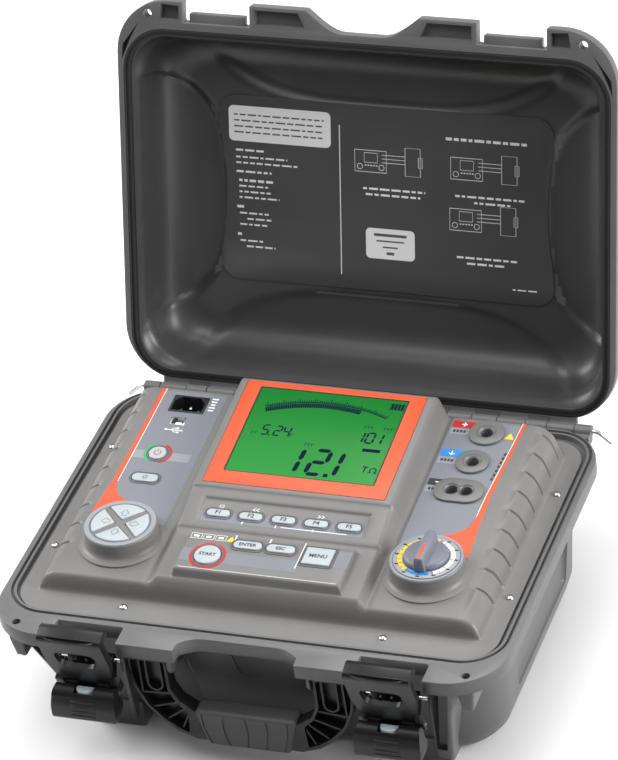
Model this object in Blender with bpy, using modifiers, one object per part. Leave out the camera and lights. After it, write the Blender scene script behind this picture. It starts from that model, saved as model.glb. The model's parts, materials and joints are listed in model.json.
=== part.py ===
"""Insulation resistance tester in a hinged carrying case.

Metres, +Z up. The origin is the centre of the flat underside of the case base,
+X runs along the width to the right of the control panel, and -Y is the front,
where the two latches and the carrying handle are. The lid stands open.
"""
import math
import bpy
import bmesh
from mathutils import Matrix, Vector

# ------------------------------------------------------------------ driving dimensions
MM = 0.001
GAP = 0.0003                      # clearance between touching pieces

RIM_Z = 0.115                     # parting plane of base and lid above the underside
LID_HEIGHT = 0.057                # closed lid above the parting plane
LID_OPEN = math.radians(107.5)    # how far the lid stands open
FLANGE_HALF_X = 0.1933            # base flange, half width
FLANGE_FRONT = -0.1563
FLANGE_REAR = 0.143
FLANGE_DEPTH = 0.012              # height of the flange skirt
CORNER_RADIUS = 0.042
OPENING_X = 0.1847                # rim opening, half width
OPENING_FRONT = -0.1285
OPENING_REAR = 0.1360
OPENING_RADIUS = 0.028
WALL = 0.0035

HINGE_Y = 0.1487
HINGE_Z = RIM_Z - 0.004
KNUCKLE_RADIUS = 0.0045
PIN_RADIUS = 0.0015
LID_KNUCKLES = ((0.066, 0.085), (0.105, 0.127), (0.144, 0.165))
BASE_KNUCKLES = ((0.0856, 0.1044), (0.1276, 0.1434), (0.1656, 0.178))

LATCH_X = 0.115                   # centre of each latch from the middle
LATCH_BAY = 0.0253                # half width of the recess for a latch
LEVER_AXIS = (-0.1440, RIM_Z - 0.026)
CLAW_AXIS = (-0.1550, RIM_Z - 0.040)
CLAW_LEAN = math.radians(20.0)
LATCH_HALF = 0.0246

HANDLE_Y = -0.1440
HANDLE_AXIS_Z = RIM_Z - 0.0215
HANDLE_DEPTH = 0.0120

SIDE_SLOPE = 0.075                # rise of the side decks towards the rear
SIDE_LEVEL = RIM_Z + 0.0209       # side deck height at y = 0
SCREEN_SLOPE = 0.112
SCREEN_LEVEL = RIM_Z + 0.03736
PLATE_SLOPE = 0.053
PLATE_LEVEL = RIM_Z + 0.0310
PEDESTAL_TOP = RIM_Z + 0.0295
PEDESTAL_X = 0.117
PEDESTAL_Y = -0.0583
PEDESTAL_RADIUS = 0.0272
FASCIA_THICKNESS = 0.0024
FASCIA_FLANGE_Z = RIM_Z - 0.0015

BOARD_Z = RIM_Z - 0.0200          # underside of the main board
KEYPAD_Z = RIM_Z + 0.0176         # underside of the board below the keys
KEY_TRAVEL = 0.0012
KEY_CLEARANCE = 0.0005


def side_deck(y):
    """Height of the left and right decks of the control panel."""
    return SIDE_LEVEL + SIDE_SLOPE * y


def screen_deck(y):
    """Height of the sloped face that carries the display."""
    return SCREEN_LEVEL + SCREEN_SLOPE * y


def plate_deck(y):
    """Height of the raised plate with the START key."""
    return PLATE_LEVEL + PLATE_SLOPE * y


# ------------------------------------------------------------------ scene helpers
for leftover in list(bpy.data.objects):
    bpy.data.objects.remove(leftover)

PARTS = bpy.data.collections.new("insulation_resistance_tester")
CUTTERS = bpy.data.collections.new("cutters_and_tools")
bpy.context.scene.collection.children.link(PARTS)
bpy.context.scene.collection.children.link(CUTTERS)


def material(name, colour, roughness, metallic=0.0):
    """A Principled material with one colour."""
    found = bpy.data.materials.get(name)
    if found:
        return found
    made = bpy.data.materials.new(name)
    made.use_nodes = True
    shader = made.node_tree.nodes["Principled BSDF"]
    shader.inputs["Base Color"].default_value = (*colour, 1.0)
    shader.inputs["Roughness"].default_value = roughness
    shader.inputs["Metallic"].default_value = metallic
    made.diffuse_color = (*colour, 1.0)
    return made


CASE_GREY = material("case_grey", (0.16, 0.16, 0.165), 0.55)
PANEL_GREY = material("panel_grey", (0.30, 0.30, 0.31), 0.5)
LATCH_BLACK = material("latch_black", (0.022, 0.022, 0.024), 0.42)
GRIP_GREY = material("grip_grey", (0.09, 0.09, 0.095), 0.7)
RUBBER_BLACK = material("rubber_black", (0.012, 0.012, 0.012), 0.8)
STEEL = material("steel", (0.62, 0.62, 0.63), 0.28, 1.0)
KEY_GREY = material("key_grey", (0.60, 0.65, 0.69), 0.45)
BEZEL_ORANGE = material("bezel_orange", (0.95, 0.20, 0.07), 0.45)
SCREEN_GREEN = material("screen_green", (0.05, 0.36, 0.07), 0.2)
WINDOW_CLEAR = material("window_clear", (0.75, 0.9, 0.78), 0.08)
SOCKET_GREY = material("socket_grey", (0.22, 0.22, 0.22), 0.4)
INLET_BLACK = material("inlet_black", (0.015, 0.015, 0.016), 0.35)
DIAL_LIGHT = material("dial_light", (0.62, 0.63, 0.64), 0.5)
KNOB_DARK = material("knob_dark", (0.10, 0.11, 0.14), 0.4)
BOARD_GREEN = material("board_green", (0.03, 0.16, 0.08), 0.5)
MODULE_GREY = material("module_grey", (0.20, 0.21, 0.22), 0.5)
CELL_BLUE = material("cell_blue", (0.05, 0.12, 0.30), 0.4)
PLATE_DARK = material("plate_dark", (0.05, 0.052, 0.058), 0.5)


def add_object(name, mesh, look=None, tool=False):
    """Put a mesh in the parts collection, or in the tools' one, unseen."""
    made = bpy.data.objects.new(name, mesh)
    if look:
        mesh.materials.append(look)
    if tool:
        CUTTERS.objects.link(made)
        made.hide_render = True
        made.display_type = "WIRE"
    else:
        PARTS.objects.link(made)
    return made


def finish_bmesh(name, bm):
    """Turn a bmesh into a mesh with outward normals."""
    bmesh.ops.recalc_face_normals(bm, faces=bm.faces)
    mesh = bpy.data.meshes.new(name)
    bm.to_mesh(mesh)
    bm.free()
    return mesh


def rounded_outline(half_x, front, rear, radius, steps=5):
    """Corner-rounded rectangle in the XY plane, anticlockwise."""
    points = []
    corners = (
        (half_x - radius, rear - radius, 0.0),
        (-half_x + radius, rear - radius, 0.5),
        (-half_x + radius, front + radius, 1.0),
        (half_x - radius, front + radius, 1.5),
    )
    for cx, cy, start in corners:
        for i in range(steps + 1):
            angle = math.pi * (start + 0.5 * i / steps)
            points.append((cx + radius * math.cos(angle), cy + radius * math.sin(angle)))
    return points


def loft(name, sections, look=None, tool=False):
    """Closed body through sections of equal point count, each a list of 3-D points."""
    bm = bmesh.new()
    rings = [[bm.verts.new(point) for point in section] for section in sections]
    count = len(rings[0])
    for lower, upper in zip(rings, rings[1:]):
        for i in range(count):
            j = (i + 1) % count
            bm.faces.new((lower[i], lower[j], upper[j], upper[i]))
    bm.faces.new(list(reversed(rings[0])))
    bm.faces.new(rings[-1])
    return add_object(name, finish_bmesh(name, bm), look, tool)


def stacked(name, layers, look=None, tool=False):
    """Loft of rounded rectangles given as (z, half_x, front, rear, radius)."""
    sections = []
    for z, half_x, front, rear, radius in layers:
        outline = rounded_outline(half_x, front, rear, radius)
        sections.append([(x, y, z) for x, y in outline])
    return loft(name, sections, look, tool)


def prism(name, outline, low, high, look=None, tool=False, plane="XY"):
    """Extrude a closed outline between two levels along the axis normal to its plane."""
    order = {
        "XY": lambda a, b, c: (a, b, c),
        "XZ": lambda a, b, c: (a, c, b),
        "YZ": lambda a, b, c: (c, a, b),
    }[plane]
    bm = bmesh.new()
    base = bm.faces.new([bm.verts.new(order(a, b, low)) for a, b in outline])
    grown = bmesh.ops.extrude_face_region(bm, geom=[base])
    moved = [item for item in grown["geom"] if isinstance(item, bmesh.types.BMVert)]
    bmesh.ops.translate(bm, verts=moved, vec=order(0.0, 0.0, high - low))
    return add_object(name, finish_bmesh(name, bm), look, tool)


def box(name, low, high, look=None, tool=False, bevel=0.0, segments=1):
    """Axis-aligned box between two corners, with optional rounded edges."""
    bm = bmesh.new()
    bmesh.ops.create_cube(bm, size=1.0)
    size = [high[i] - low[i] for i in range(3)]
    middle = [(high[i] + low[i]) / 2 for i in range(3)]
    bmesh.ops.scale(bm, verts=bm.verts, vec=size)
    made = add_object(name, finish_bmesh(name, bm), look, tool)
    made.location = middle
    if bevel:
        add_bevel(made, bevel, segments)
    return made


def add_bevel(target, width, segments=1, angle=30.0):
    """Rounded edges on an object whose scale is 1."""
    rounding = target.modifiers.new("rounded_edges", "BEVEL")
    rounding.width = width
    rounding.segments = segments
    rounding.limit_method = "ANGLE"
    rounding.angle_limit = math.radians(angle)


def cylinder(name, radius, low, high, look=None, tool=False, axis="Z", sides=16, centre=(0, 0)):
    """Cylinder along an axis; centre holds the two other coordinates in axis order."""
    bm = bmesh.new()
    bmesh.ops.create_cone(
        bm, cap_ends=True, segments=sides, radius1=radius, radius2=radius, depth=high - low
    )
    mid = (low + high) / 2
    if axis == "X":
        bmesh.ops.rotate(bm, verts=bm.verts, matrix=Matrix.Rotation(math.pi / 2, 3, "Y"))
        place = (mid, centre[0], centre[1])
    elif axis == "Y":
        bmesh.ops.rotate(bm, verts=bm.verts, matrix=Matrix.Rotation(math.pi / 2, 3, "X"))
        place = (centre[0], mid, centre[1])
    else:
        place = (centre[0], centre[1], mid)
    made = add_object(name, finish_bmesh(name, bm), look, tool)
    made.location = place
    return made


def turned(name, profile, look=None, tool=False, steps=20):
    """Body of revolution about Z; the profile runs from the top down its outer side."""
    bm = bmesh.new()
    verts = [bm.verts.new((radius, 0.0, height)) for radius, height in profile]
    for first, second in zip(verts, verts[1:]):
        bm.edges.new((first, second))
    mesh = bpy.data.meshes.new(name)
    bm.to_mesh(mesh)
    bm.free()
    made = add_object(name, mesh, look, tool)
    screw = made.modifiers.new("turning", "SCREW")
    screw.steps = steps
    screw.render_steps = steps
    screw.use_merge_vertices = True
    screw.merge_threshold = 0.00005
    return made


def boolean(target, tool, operation="DIFFERENCE"):
    """Cut a tool out of a target, or join it on."""
    change = target.modifiers.new(tool.name, "BOOLEAN")
    change.operation = operation
    change.object = tool
    change.solver = "EXACT"


def cut(target, *tools):
    for tool in tools:
        boolean(target, tool)


def unite(target, *tools):
    for tool in tools:
        boolean(target, tool, "UNION")


def frame_empty(name, location, tilt=0.0):
    """An empty that tilts what it carries about X."""
    made = bpy.data.objects.new(name, None)
    CUTTERS.objects.link(made)
    made.location = location
    made.rotation_euler = (tilt, 0.0, 0.0)
    return made


def put_on(child, parent, location=(0.0, 0.0, 0.0)):
    child.parent = parent
    child.location = location
    return child


def mirrored(points):
    """Complete a right-hand half outline with its mirror image."""
    return points + [(-x, y) for x, y in reversed(points) if abs(x) > 1e-9]


# ------------------------------------------------------------------ case base
def flange_outline(front_edge=FLANGE_FRONT):
    """Right half of the base flange, from the middle of the front to the middle of the rear."""
    bay_in = LATCH_X - LATCH_BAY
    bay_out = LATCH_X + LATCH_BAY
    half = [
        (0.0, -0.1400),
        (0.0220, -0.1400),
        (0.0330, -0.1425),
        (0.0405, -0.1490),
        (0.0450, front_edge),
        (bay_in, front_edge),
        (bay_in, -0.1375),
        (bay_out, -0.1375),
        (bay_out, front_edge),
    ]
    centre = (FLANGE_HALF_X - CORNER_RADIUS, front_edge + CORNER_RADIUS)
    for i in range(6):
        angle = math.radians(-90 + 18 * i)
        half.append(
            (centre[0] + CORNER_RADIUS * math.cos(angle), centre[1] + CORNER_RADIUS * math.sin(angle))
        )
    centre = (FLANGE_HALF_X - CORNER_RADIUS, FLANGE_REAR - CORNER_RADIUS)
    for i in range(6):
        angle = math.radians(18 * i)
        half.append(
            (centre[0] + CORNER_RADIUS * math.cos(angle), centre[1] + CORNER_RADIUS * math.sin(angle))
        )
    half.append((0.0, FLANGE_REAR))
    return half


def base_layers(inset, floor):
    """Rounded sections of the tub, from the floor up; inset makes the inner surface."""
    flange_low = RIM_Z - FLANGE_DEPTH
    return [
        (floor, 0.148 - inset, -0.086 + inset, 0.104 - inset, 0.030),
        (floor + 0.007, 0.165 - inset, -0.103 + inset, 0.119 - inset, 0.038),
        (floor + 0.025, 0.1725 - inset, -0.112 + inset, 0.126 - inset, 0.044),
        (flange_low, 0.179 - inset, -0.1245 + inset, 0.132 - inset, 0.048 - inset),
    ]


def opening_block(name, margin, low, high, look=None, tool=True):
    """Block in the outline of the rim opening, grown by a margin."""
    layer = (OPENING_X + margin, OPENING_FRONT - margin, OPENING_REAR + margin, OPENING_RADIUS + margin)
    return stacked(name, [(low, *layer), (high, *layer)], look, tool)


def make_base():
    """Tub, flange, latch bays, handle bay, hinge barrels: one moulding."""
    base = stacked("base_shell", base_layers(0.0, 0.0) + [(RIM_Z - 0.0115, 0.179, -0.1245, 0.132, 0.048)],
                   CASE_GREY)
    flange = prism("base_flange", mirrored(flange_outline()), RIM_Z - FLANGE_DEPTH, RIM_Z, tool=True)
    unite(base, flange)
    handle_bay = loft(
        "base_handle_bay",
        [
            [(-0.044, -0.1125, 0.012), (0.044, -0.1125, 0.012), (0.044, -0.100, 0.012), (-0.044, -0.100, 0.012)],
            [(-0.052, -0.1330, 0.1035), (0.052, -0.1330, 0.1035), (0.052, -0.120, 0.1035), (-0.052, -0.120, 0.1035)],
        ],
        tool=True,
    )
    unite(base, handle_bay)
    for side in (-1, 1):
        foot = box("base_foot_%+d" % side, (0.118 * side - 0.0205, -0.1135, 0.0), (0.118 * side + 0.0205, -0.080, 0.024),
                   tool=True)
        inner_web = loft(
            "base_inner_web_%+d" % side,
            [
                [(side * x, y, 0.003) for x, y in ((0.1035, -0.1130), (0.1070, -0.1130), (0.1070, -0.095), (0.1035, -0.095))],
                [(side * x, y, 0.1035) for x, y in ((0.0862, -0.1545), (0.0890, -0.1545), (0.0890, -0.118), (0.0862, -0.118))],
            ],
            tool=True,
        )
        outer_rib = loft(
            "base_outer_rib_%+d" % side,
            [
                [(side * x, y, 0.006) for x, y in ((0.1270, -0.1140), (0.1400, -0.1140), (0.1400, -0.095), (0.1270, -0.095))],
                [(side * x, y, 0.1035) for x, y in ((0.1412, -0.1540), (0.1600, -0.1540), (0.1600, -0.118), (0.1412, -0.118))],
            ],
            tool=True,
        )
        unite(base, foot, inner_web, outer_rib)
        for start, end in BASE_KNUCKLES:
            low, high = sorted((side * start, side * end))
            arm = box("base_knuckle_arm_%.0f_%+d" % (start / MM, side),
                      (low, FLANGE_REAR - 0.004, HINGE_Z - KNUCKLE_RADIUS - 0.0035), (high, HINGE_Y, HINGE_Z), tool=True)
            barrel = cylinder("base_barrel_%.0f_%+d" % (start / MM, side), KNUCKLE_RADIUS, low, high,
                              tool=True, axis="X", sides=12, centre=(HINGE_Y, HINGE_Z))
            unite(base, arm, barrel)
        for x in (0.0515, 0.0868):
            low, high = sorted((side * x, side * (x + 0.0025)))
            lug = box("base_handle_lug_%.0f_%+d" % (x / MM, side),
                      (low, -0.1515, HANDLE_AXIS_Z - 0.007), (high, -0.118, RIM_Z - 0.0115), tool=True)
            unite(base, lug)
    cavity = stacked("base_cavity", base_layers(WALL, WALL) + [(RIM_Z - 0.0035, 0.1755, -0.1212, 0.1285, 0.0445)],
                     tool=True)
    seat = opening_block("base_seat", 0.0, RIM_Z - 0.0045, RIM_Z + 0.002)
    groove = opening_block("base_groove", 0.0042, RIM_Z - 0.0030, RIM_Z + 0.002)
    groove_island = opening_block("base_groove_island", 0.0018, RIM_Z - 0.0040, RIM_Z + 0.003)
    boolean(groove, groove_island)
    cut(base, cavity, seat, groove)
    for side in (-1, 1):
        for y in (-0.075, 0.090):
            post = cylinder("base_post_%+d_%+.0f" % (side, y / MM), 0.0040, WALL / 2, BOARD_Z - GAP, tool=True,
                            sides=8, centre=(side * 0.142, y))
            unite(base, post)
        low, high = sorted((side * 0.055, side * 0.185))
        bore = cylinder("base_pin_bore_%+d" % side, PIN_RADIUS + GAP, low, high, tool=True, axis="X",
                        sides=10, centre=(HINGE_Y, HINGE_Z))
        padlock = cylinder("base_padlock_hole_%+d" % side, 0.0032, RIM_Z - 0.014, RIM_Z + 0.002, tool=True,
                           sides=12, centre=(side * 0.1695, -0.1451))
        latch_bore = cylinder("base_latch_bore_%+d" % side, PIN_RADIUS + GAP, side * LATCH_X - 0.0262,
                              side * LATCH_X + 0.0262, tool=True, axis="X", sides=10, centre=LEVER_AXIS)
        low, high = sorted((side * 0.0525, side * 0.0883))
        handle_bore = cylinder("base_handle_bore_%+d" % side, PIN_RADIUS + GAP, low, high,
                               tool=True, axis="X", sides=10, centre=(HANDLE_Y, HANDLE_AXIS_Z))
        cut(base, bore, padlock, latch_bore, handle_bore)
    return base


# ------------------------------------------------------------------ lid
def lid_outline():
    """Right half of the lid flange in the closed position."""
    half = [
        (0.0, -0.1400),
        (0.0170, -0.1400),
        (0.0330, -0.1440),
        (0.0440, -0.1565),
        (0.0885, -0.1565),
        (0.0885, -0.1400),
        (0.1415, -0.1400),
        (0.1415, -0.1560),
    ]
    radius = CORNER_RADIUS
    half_x = 0.1950
    centre = (half_x - radius, -0.1560 + radius)
    for i in range(6):
        angle = math.radians(-90 + 18 * i)
        half.append((centre[0] + radius * math.cos(angle), centre[1] + radius * math.sin(angle)))
    centre = (half_x - radius, FLANGE_REAR - radius)
    for i in range(6):
        angle = math.radians(18 * i)
        half.append((centre[0] + radius * math.cos(angle), centre[1] + radius * math.sin(angle)))
    half.append((0.0, FLANGE_REAR))
    return half


def lid_layers(inset, top):
    """Rounded sections of the lid dome above its flange, in the closed position."""
    return [
        (RIM_Z + 0.0080, 0.1860 - inset, -0.1325 + inset, 0.1380 - inset, 0.036 - inset),
        (top - 0.017, 0.1790 - inset, -0.1275 + inset, 0.1310 - inset, 0.036 - inset),
        (top - 0.005, 0.1720 - inset, -0.1205 + inset, 0.1240 - inset, 0.034 - inset),
        (top, 0.1620 - inset, -0.1105 + inset, 0.1140 - inset, 0.030 - inset),
    ]


def make_lid(hinge):
    """Dished lid with its flange, keepers, padlock ears and hinge barrels."""
    top = RIM_Z + LID_HEIGHT
    lid = stacked("lid_shell", lid_layers(0.0, top), CASE_GREY)
    flange = prism("lid_flange", mirrored(lid_outline()), RIM_Z + 0.0005, RIM_Z + 0.0100, tool=True)
    unite(lid, flange)
    tools = [flange]
    for side in (-1, 1):
        keeper = box("lid_keeper_%+d" % side, (side * LATCH_X - 0.022, -0.1468, RIM_Z + 0.0030),
                     (side * LATCH_X + 0.022, -0.130, RIM_Z + 0.0100), tool=True)
        unite(lid, keeper)
        tools.append(keeper)
        for start, end in LID_KNUCKLES:
            low, high = sorted((side * start, side * end))
            arm = box("lid_knuckle_arm_%.0f_%+d" % (start / MM, side),
                      (low, 0.130, HINGE_Z + 0.0046), (high, HINGE_Y, HINGE_Z + 0.0085), tool=True)
            drop = box("lid_knuckle_drop_%.0f_%+d" % (start / MM, side),
                       (low, HINGE_Y - 0.0036, HINGE_Z), (high, HINGE_Y + 0.0036, HINGE_Z + 0.0085), tool=True)
            barrel = cylinder("lid_barrel_%.0f_%+d" % (start / MM, side), KNUCKLE_RADIUS - 0.0005, low, high,
                              tool=True, axis="X", sides=12, centre=(HINGE_Y, HINGE_Z))
            unite(lid, arm, drop, barrel)
            tools += [arm, drop, barrel]
    cavity = stacked("lid_cavity", [(RIM_Z - 0.001, 0.1841, -0.1280, 0.1355, 0.028),
                                    (RIM_Z + 0.0080, 0.1815, -0.1280, 0.1330, 0.030)]
                     + lid_layers(WALL, top - WALL)[1:], tool=True)
    channel = opening_block("lid_channel", 0.0055, RIM_Z - 0.001, RIM_Z + 0.0030)
    cut(lid, cavity, channel)
    tools += [cavity, channel]
    for side in (-1, 1):
        low, high = sorted((side * 0.055, side * 0.185))
        bore = cylinder("lid_pin_bore_%+d" % side, PIN_RADIUS + GAP, low, high, tool=True, axis="X",
                        sides=10, centre=(HINGE_Y, HINGE_Z))
        padlock = cylinder("lid_padlock_hole_%+d" % side, 0.0035, RIM_Z - 0.002, RIM_Z + 0.012, tool=True,
                           sides=12, centre=(side * 0.1695, -0.1451))
        cut(lid, bore, padlock)
        tools += [bore, padlock]
    for made in [lid] + tools:
        carry(made, hinge)
    return lid


def carry(child, hinge):
    """Hand a body drawn in the closed position to the opened hinge."""
    child.parent = hinge
    child.location = Vector(child.location) - Vector((0.0, HINGE_Y, HINGE_Z))


def make_lid_fittings(hinge):
    """Gasket in the lid channel and the printed plate inside the lid."""
    gasket = opening_block("lid_gasket", 0.0052, RIM_Z + 0.0005, RIM_Z + 0.0027, RUBBER_BLACK, tool=False)
    inside = opening_block("lid_gasket_inside", 0.0, RIM_Z - 0.002, RIM_Z + 0.005)
    cut(gasket, inside)
    ceiling = RIM_Z + LID_HEIGHT - WALL
    plate = prism("lid_info_plate", rounded_outline(0.134, -0.0725, 0.0725, 0.010, 4),
                  ceiling - 0.0013, ceiling - GAP, PLATE_DARK)
    for made in (gasket, inside, plate):
        carry(made, hinge)


def make_hinge_pins():
    """Steel rods through the hinge barrels, their outer ends bent down."""
    for side, word in ((-1, "left"), (1, "right")):
        curve = bpy.data.curves.new("hinge_pin_" + word, "CURVE")
        curve.dimensions = "3D"
        curve.bevel_depth = PIN_RADIUS
        curve.bevel_resolution = 1
        curve.use_fill_caps = True
        route = [(0.0565, 0.0), (0.120, 0.0), (0.1800, 0.0), (0.1835, -0.0008), (0.1865, -0.0032), (0.1925, -0.0095)]
        spline = curve.splines.new("POLY")
        spline.points.add(len(route) - 1)
        for point, (x, drop) in zip(spline.points, route):
            point.co = (side * x, HINGE_Y, HINGE_Z + drop, 1.0)
        made = bpy.data.objects.new("hinge_pin_" + word, curve)
        PARTS.objects.link(made)
        curve.materials.append(STEEL)


# ------------------------------------------------------------------ latches and handle
def lean(point):
    """Lean a point (y, z) of the claw outwards about the claw's own axis."""
    dy = point[0] - CLAW_AXIS[0]
    dz = point[1] - CLAW_AXIS[1]
    cosine, sine = math.cos(CLAW_LEAN), math.sin(CLAW_LEAN)
    return (CLAW_AXIS[0] + dy * cosine - dz * sine, CLAW_AXIS[1] + dy * sine + dz * cosine)


def make_latch(side, word):
    """Thumb lever, hooked claw, release button and their pins."""
    x0 = side * LATCH_X
    rim = RIM_Z
    claw_profile = [
        (-0.1585, rim - 0.0440),
        (-0.1520, rim - 0.0440),
        (-0.1520, rim + 0.0080),
        (-0.1525, rim + 0.0128),
        (-0.1430, rim + 0.0128),
        (-0.1430, rim + 0.0175),
        (-0.1470, rim + 0.0205),
        (-0.1560, rim + 0.0205),
        (-0.1585, rim + 0.0180),
    ]
    claw = prism("latch_claw_" + word, [lean(point) for point in claw_profile], x0 - LATCH_HALF, x0 + LATCH_HALF,
                 LATCH_BLACK, plane="YZ")
    window_profile = [(-0.162, rim - 0.0125), (-0.149, rim - 0.0125), (-0.149, rim + 0.0055), (-0.162, rim + 0.0055)]
    window = prism("latch_window_" + word, [lean(point) for point in window_profile], x0 - 0.0150, x0 + 0.0150,
                   tool=True, plane="YZ")
    notch_profile = [(-0.164, rim - 0.0470), (-0.149, rim - 0.0470), (-0.149, rim - 0.0335), (-0.164, rim - 0.0335)]
    notch = prism("latch_notch_" + word, [lean(point) for point in notch_profile], x0 - 0.0178, x0 + 0.0178,
                  tool=True, plane="YZ")
    pin_bore = cylinder("latch_claw_bore_" + word, PIN_RADIUS + GAP, x0 - 0.026, x0 + 0.026, tool=True, axis="X",
                        sides=10, centre=CLAW_AXIS)
    cut(claw, window, notch, pin_bore)

    lever_profile = [
        (-0.1480, rim - 0.0225),
        (-0.1405, rim - 0.0225),
        (-0.1400, rim - 0.0290),
        (-0.1470, rim - 0.0440),
        (-0.1580, rim - 0.0560),
        (-0.1640, rim - 0.0520),
        (-0.1615, rim - 0.0450),
        (-0.1600, rim - 0.0375),
        (-0.1560, rim - 0.0342),
        (-0.1512, rim - 0.0342),
        (-0.1495, rim - 0.0300),
    ]
    lever = prism("latch_lever_" + word, lever_profile, x0 - 0.0174, x0 + 0.0174, LATCH_BLACK, plane="YZ")
    thumb_profile = [
        (-0.1625, rim - 0.0475),
        (-0.1560, rim - 0.0530),
        (-0.1610, rim - 0.0610),
        (-0.1690, rim - 0.0640),
        (-0.1740, rim - 0.0610),
        (-0.1725, rim - 0.0500),
        (-0.1675, rim - 0.0470),
    ]
    thumb = prism("latch_thumb_" + word, thumb_profile, x0 - 0.0250, x0 + 0.0250, tool=True, plane="YZ")
    unite(lever, thumb)
    for centre, tag in ((LEVER_AXIS, "a"), (CLAW_AXIS, "b")):
        bore = cylinder("latch_lever_bore_%s_%s" % (tag, word), PIN_RADIUS + GAP, x0 - 0.026, x0 + 0.026,
                        tool=True, axis="X", sides=10, centre=centre)
        cut(lever, bore)
    slot = box("latch_button_slot_" + word, (x0 - 0.0073, -0.1790, rim - 0.0485), (x0 + 0.0073, -0.1615, rim - 0.0400),
               tool=True)
    cut(lever, slot)
    cylinder("latch_pivot_pin_" + word, PIN_RADIUS, x0 - 0.0258, x0 + 0.0258, STEEL, axis="X", sides=10,
             centre=LEVER_AXIS)
    cylinder("latch_claw_pin_" + word, PIN_RADIUS, x0 - 0.0240, x0 + 0.0240, STEEL, axis="X", sides=10,
             centre=CLAW_AXIS)
    button = box("latch_button_" + word, (x0 - 0.0070, -0.1740, rim - 0.0480), (x0 + 0.0070, -0.1619, rim - 0.0430),
                 KEY_GREY, bevel=0.0012)
    return claw, lever, button


def handle_outline(inner=False):
    """Right half of the bail seen from the front, x against height below the pivot."""
    top = HANDLE_AXIS_Z + 0.0060
    if inner:
        return [(0.0, RIM_Z - 0.0600), (0.0400, RIM_Z - 0.0600), (0.0500, RIM_Z - 0.0530), (0.0552, RIM_Z - 0.0420),
                (0.0552, top)]
    return [(0.0, RIM_Z - 0.0870), (0.0400, RIM_Z - 0.0865), (0.0540, RIM_Z - 0.0815), (0.0650, RIM_Z - 0.0730),
            (0.0760, RIM_Z - 0.0600), (0.0830, RIM_Z - 0.0440), (0.0852, RIM_Z - 0.0320), (0.0852, top)]


def make_handle():
    """Bail with its two pivots and the soft grip round its lower bar."""
    outer = handle_outline()
    inner = handle_outline(inner=True)
    half = outer + list(reversed(inner))
    outline = half[:-1] + [(0.0, RIM_Z - 0.0600)]
    left = [(-x, z) for x, z in reversed(outline[1:-1])]
    front = HANDLE_Y - HANDLE_DEPTH / 2
    bail = prism("handle_bail", outline + left, front, front + HANDLE_DEPTH, LATCH_BLACK, plane="XZ")
    for side, word in ((-1, "left"), (1, "right")):
        low, high = sorted((side * 0.050, side * 0.092))
        bore = cylinder("handle_bore_" + word, PIN_RADIUS + GAP, low, high, tool=True, axis="X", sides=10,
                        centre=(HANDLE_Y, HANDLE_AXIS_Z))
        cut(bail, bore)
        low, high = sorted((side * 0.0528, side * 0.0880))
        cylinder("handle_pin_" + word, PIN_RADIUS, low, high, STEEL, axis="X", sides=10,
                 centre=(HANDLE_Y, HANDLE_AXIS_Z))
    grip_outline = [(-0.0315, RIM_Z - 0.0890), (0.0315, RIM_Z - 0.0890), (0.0395, RIM_Z - 0.0580),
                    (-0.0395, RIM_Z - 0.0580)]
    grip = prism("handle_grip", grip_outline, HANDLE_Y - 0.0085, HANDLE_Y + 0.0085, GRIP_GREY, plane="XZ")
    add_bevel(grip, 0.004, 2)
    grip_core = [(-0.0330, RIM_Z - 0.0873), (0.0330, RIM_Z - 0.0873), (0.0410, RIM_Z - 0.0597),
                 (-0.0410, RIM_Z - 0.0597)]
    sleeve = prism("handle_grip_core", [(x * 1.6, z) for x, z in grip_core], front - GAP, front + HANDLE_DEPTH + GAP,
                   tool=True, plane="XZ")
    cut(grip, sleeve)
    return bail


# ------------------------------------------------------------------ control panel
SCREEN_HALF_X = 0.0640            # inner columns: recess and raised plate
CENTRE_HALF_X = 0.0770
DECK_INNER_X = 0.0870
DECK_OUTER_X = 0.1500
SHOULDER_X = 0.1660
FASCIA_HALF_X = 0.1815
FASCIA_FRONT = -0.1278
FASCIA_REAR = 0.1300


def fascia_rows():
    """Sections from front to rear: y, side deck, centre body and its inner field."""
    low = FASCIA_FLANGE_Z
    return [
        (-0.1330, low, low, low),
        (-0.1045, low, low, low),
        (-0.1035, RIM_Z + 0.0075, RIM_Z + 0.0080, RIM_Z + 0.0080),
        (-0.1010, side_deck(-0.1010), RIM_Z + 0.0142, RIM_Z + 0.0142),
        (-0.0975, side_deck(-0.0975), RIM_Z + 0.0185, RIM_Z + 0.0185),
        (-0.0966, side_deck(-0.0966), RIM_Z + 0.0186, plate_deck(-0.0966)),
        (-0.0552, side_deck(-0.0552), RIM_Z + 0.0226, plate_deck(-0.0552)),
        (-0.0545, side_deck(-0.0545), RIM_Z + 0.0228, RIM_Z + 0.0228),
        (-0.0480, side_deck(-0.0480), RIM_Z + 0.0235, RIM_Z + 0.0235),
        (-0.0466, side_deck(-0.0466), RIM_Z + 0.0257, RIM_Z + 0.0257),
        (-0.0420, side_deck(-0.0420), RIM_Z + 0.0268, RIM_Z + 0.0268),
        (-0.0196, side_deck(-0.0196), RIM_Z + 0.0322, RIM_Z + 0.0296),
        (-0.0190, side_deck(-0.0190), RIM_Z + 0.0323, RIM_Z + 0.0323),
        (-0.0122, side_deck(-0.0122), RIM_Z + 0.0340, RIM_Z + 0.0340),
        (-0.0112, side_deck(-0.0112), screen_deck(-0.0112), screen_deck(-0.0112)),
        (0.1030, side_deck(0.1030), screen_deck(0.1030), screen_deck(0.1030)),
        (0.1085, side_deck(0.1075), RIM_Z + 0.0450, RIM_Z + 0.0450),
        (0.1125, low, low, low),
        (0.1330, low, low, low),
    ]


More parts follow.
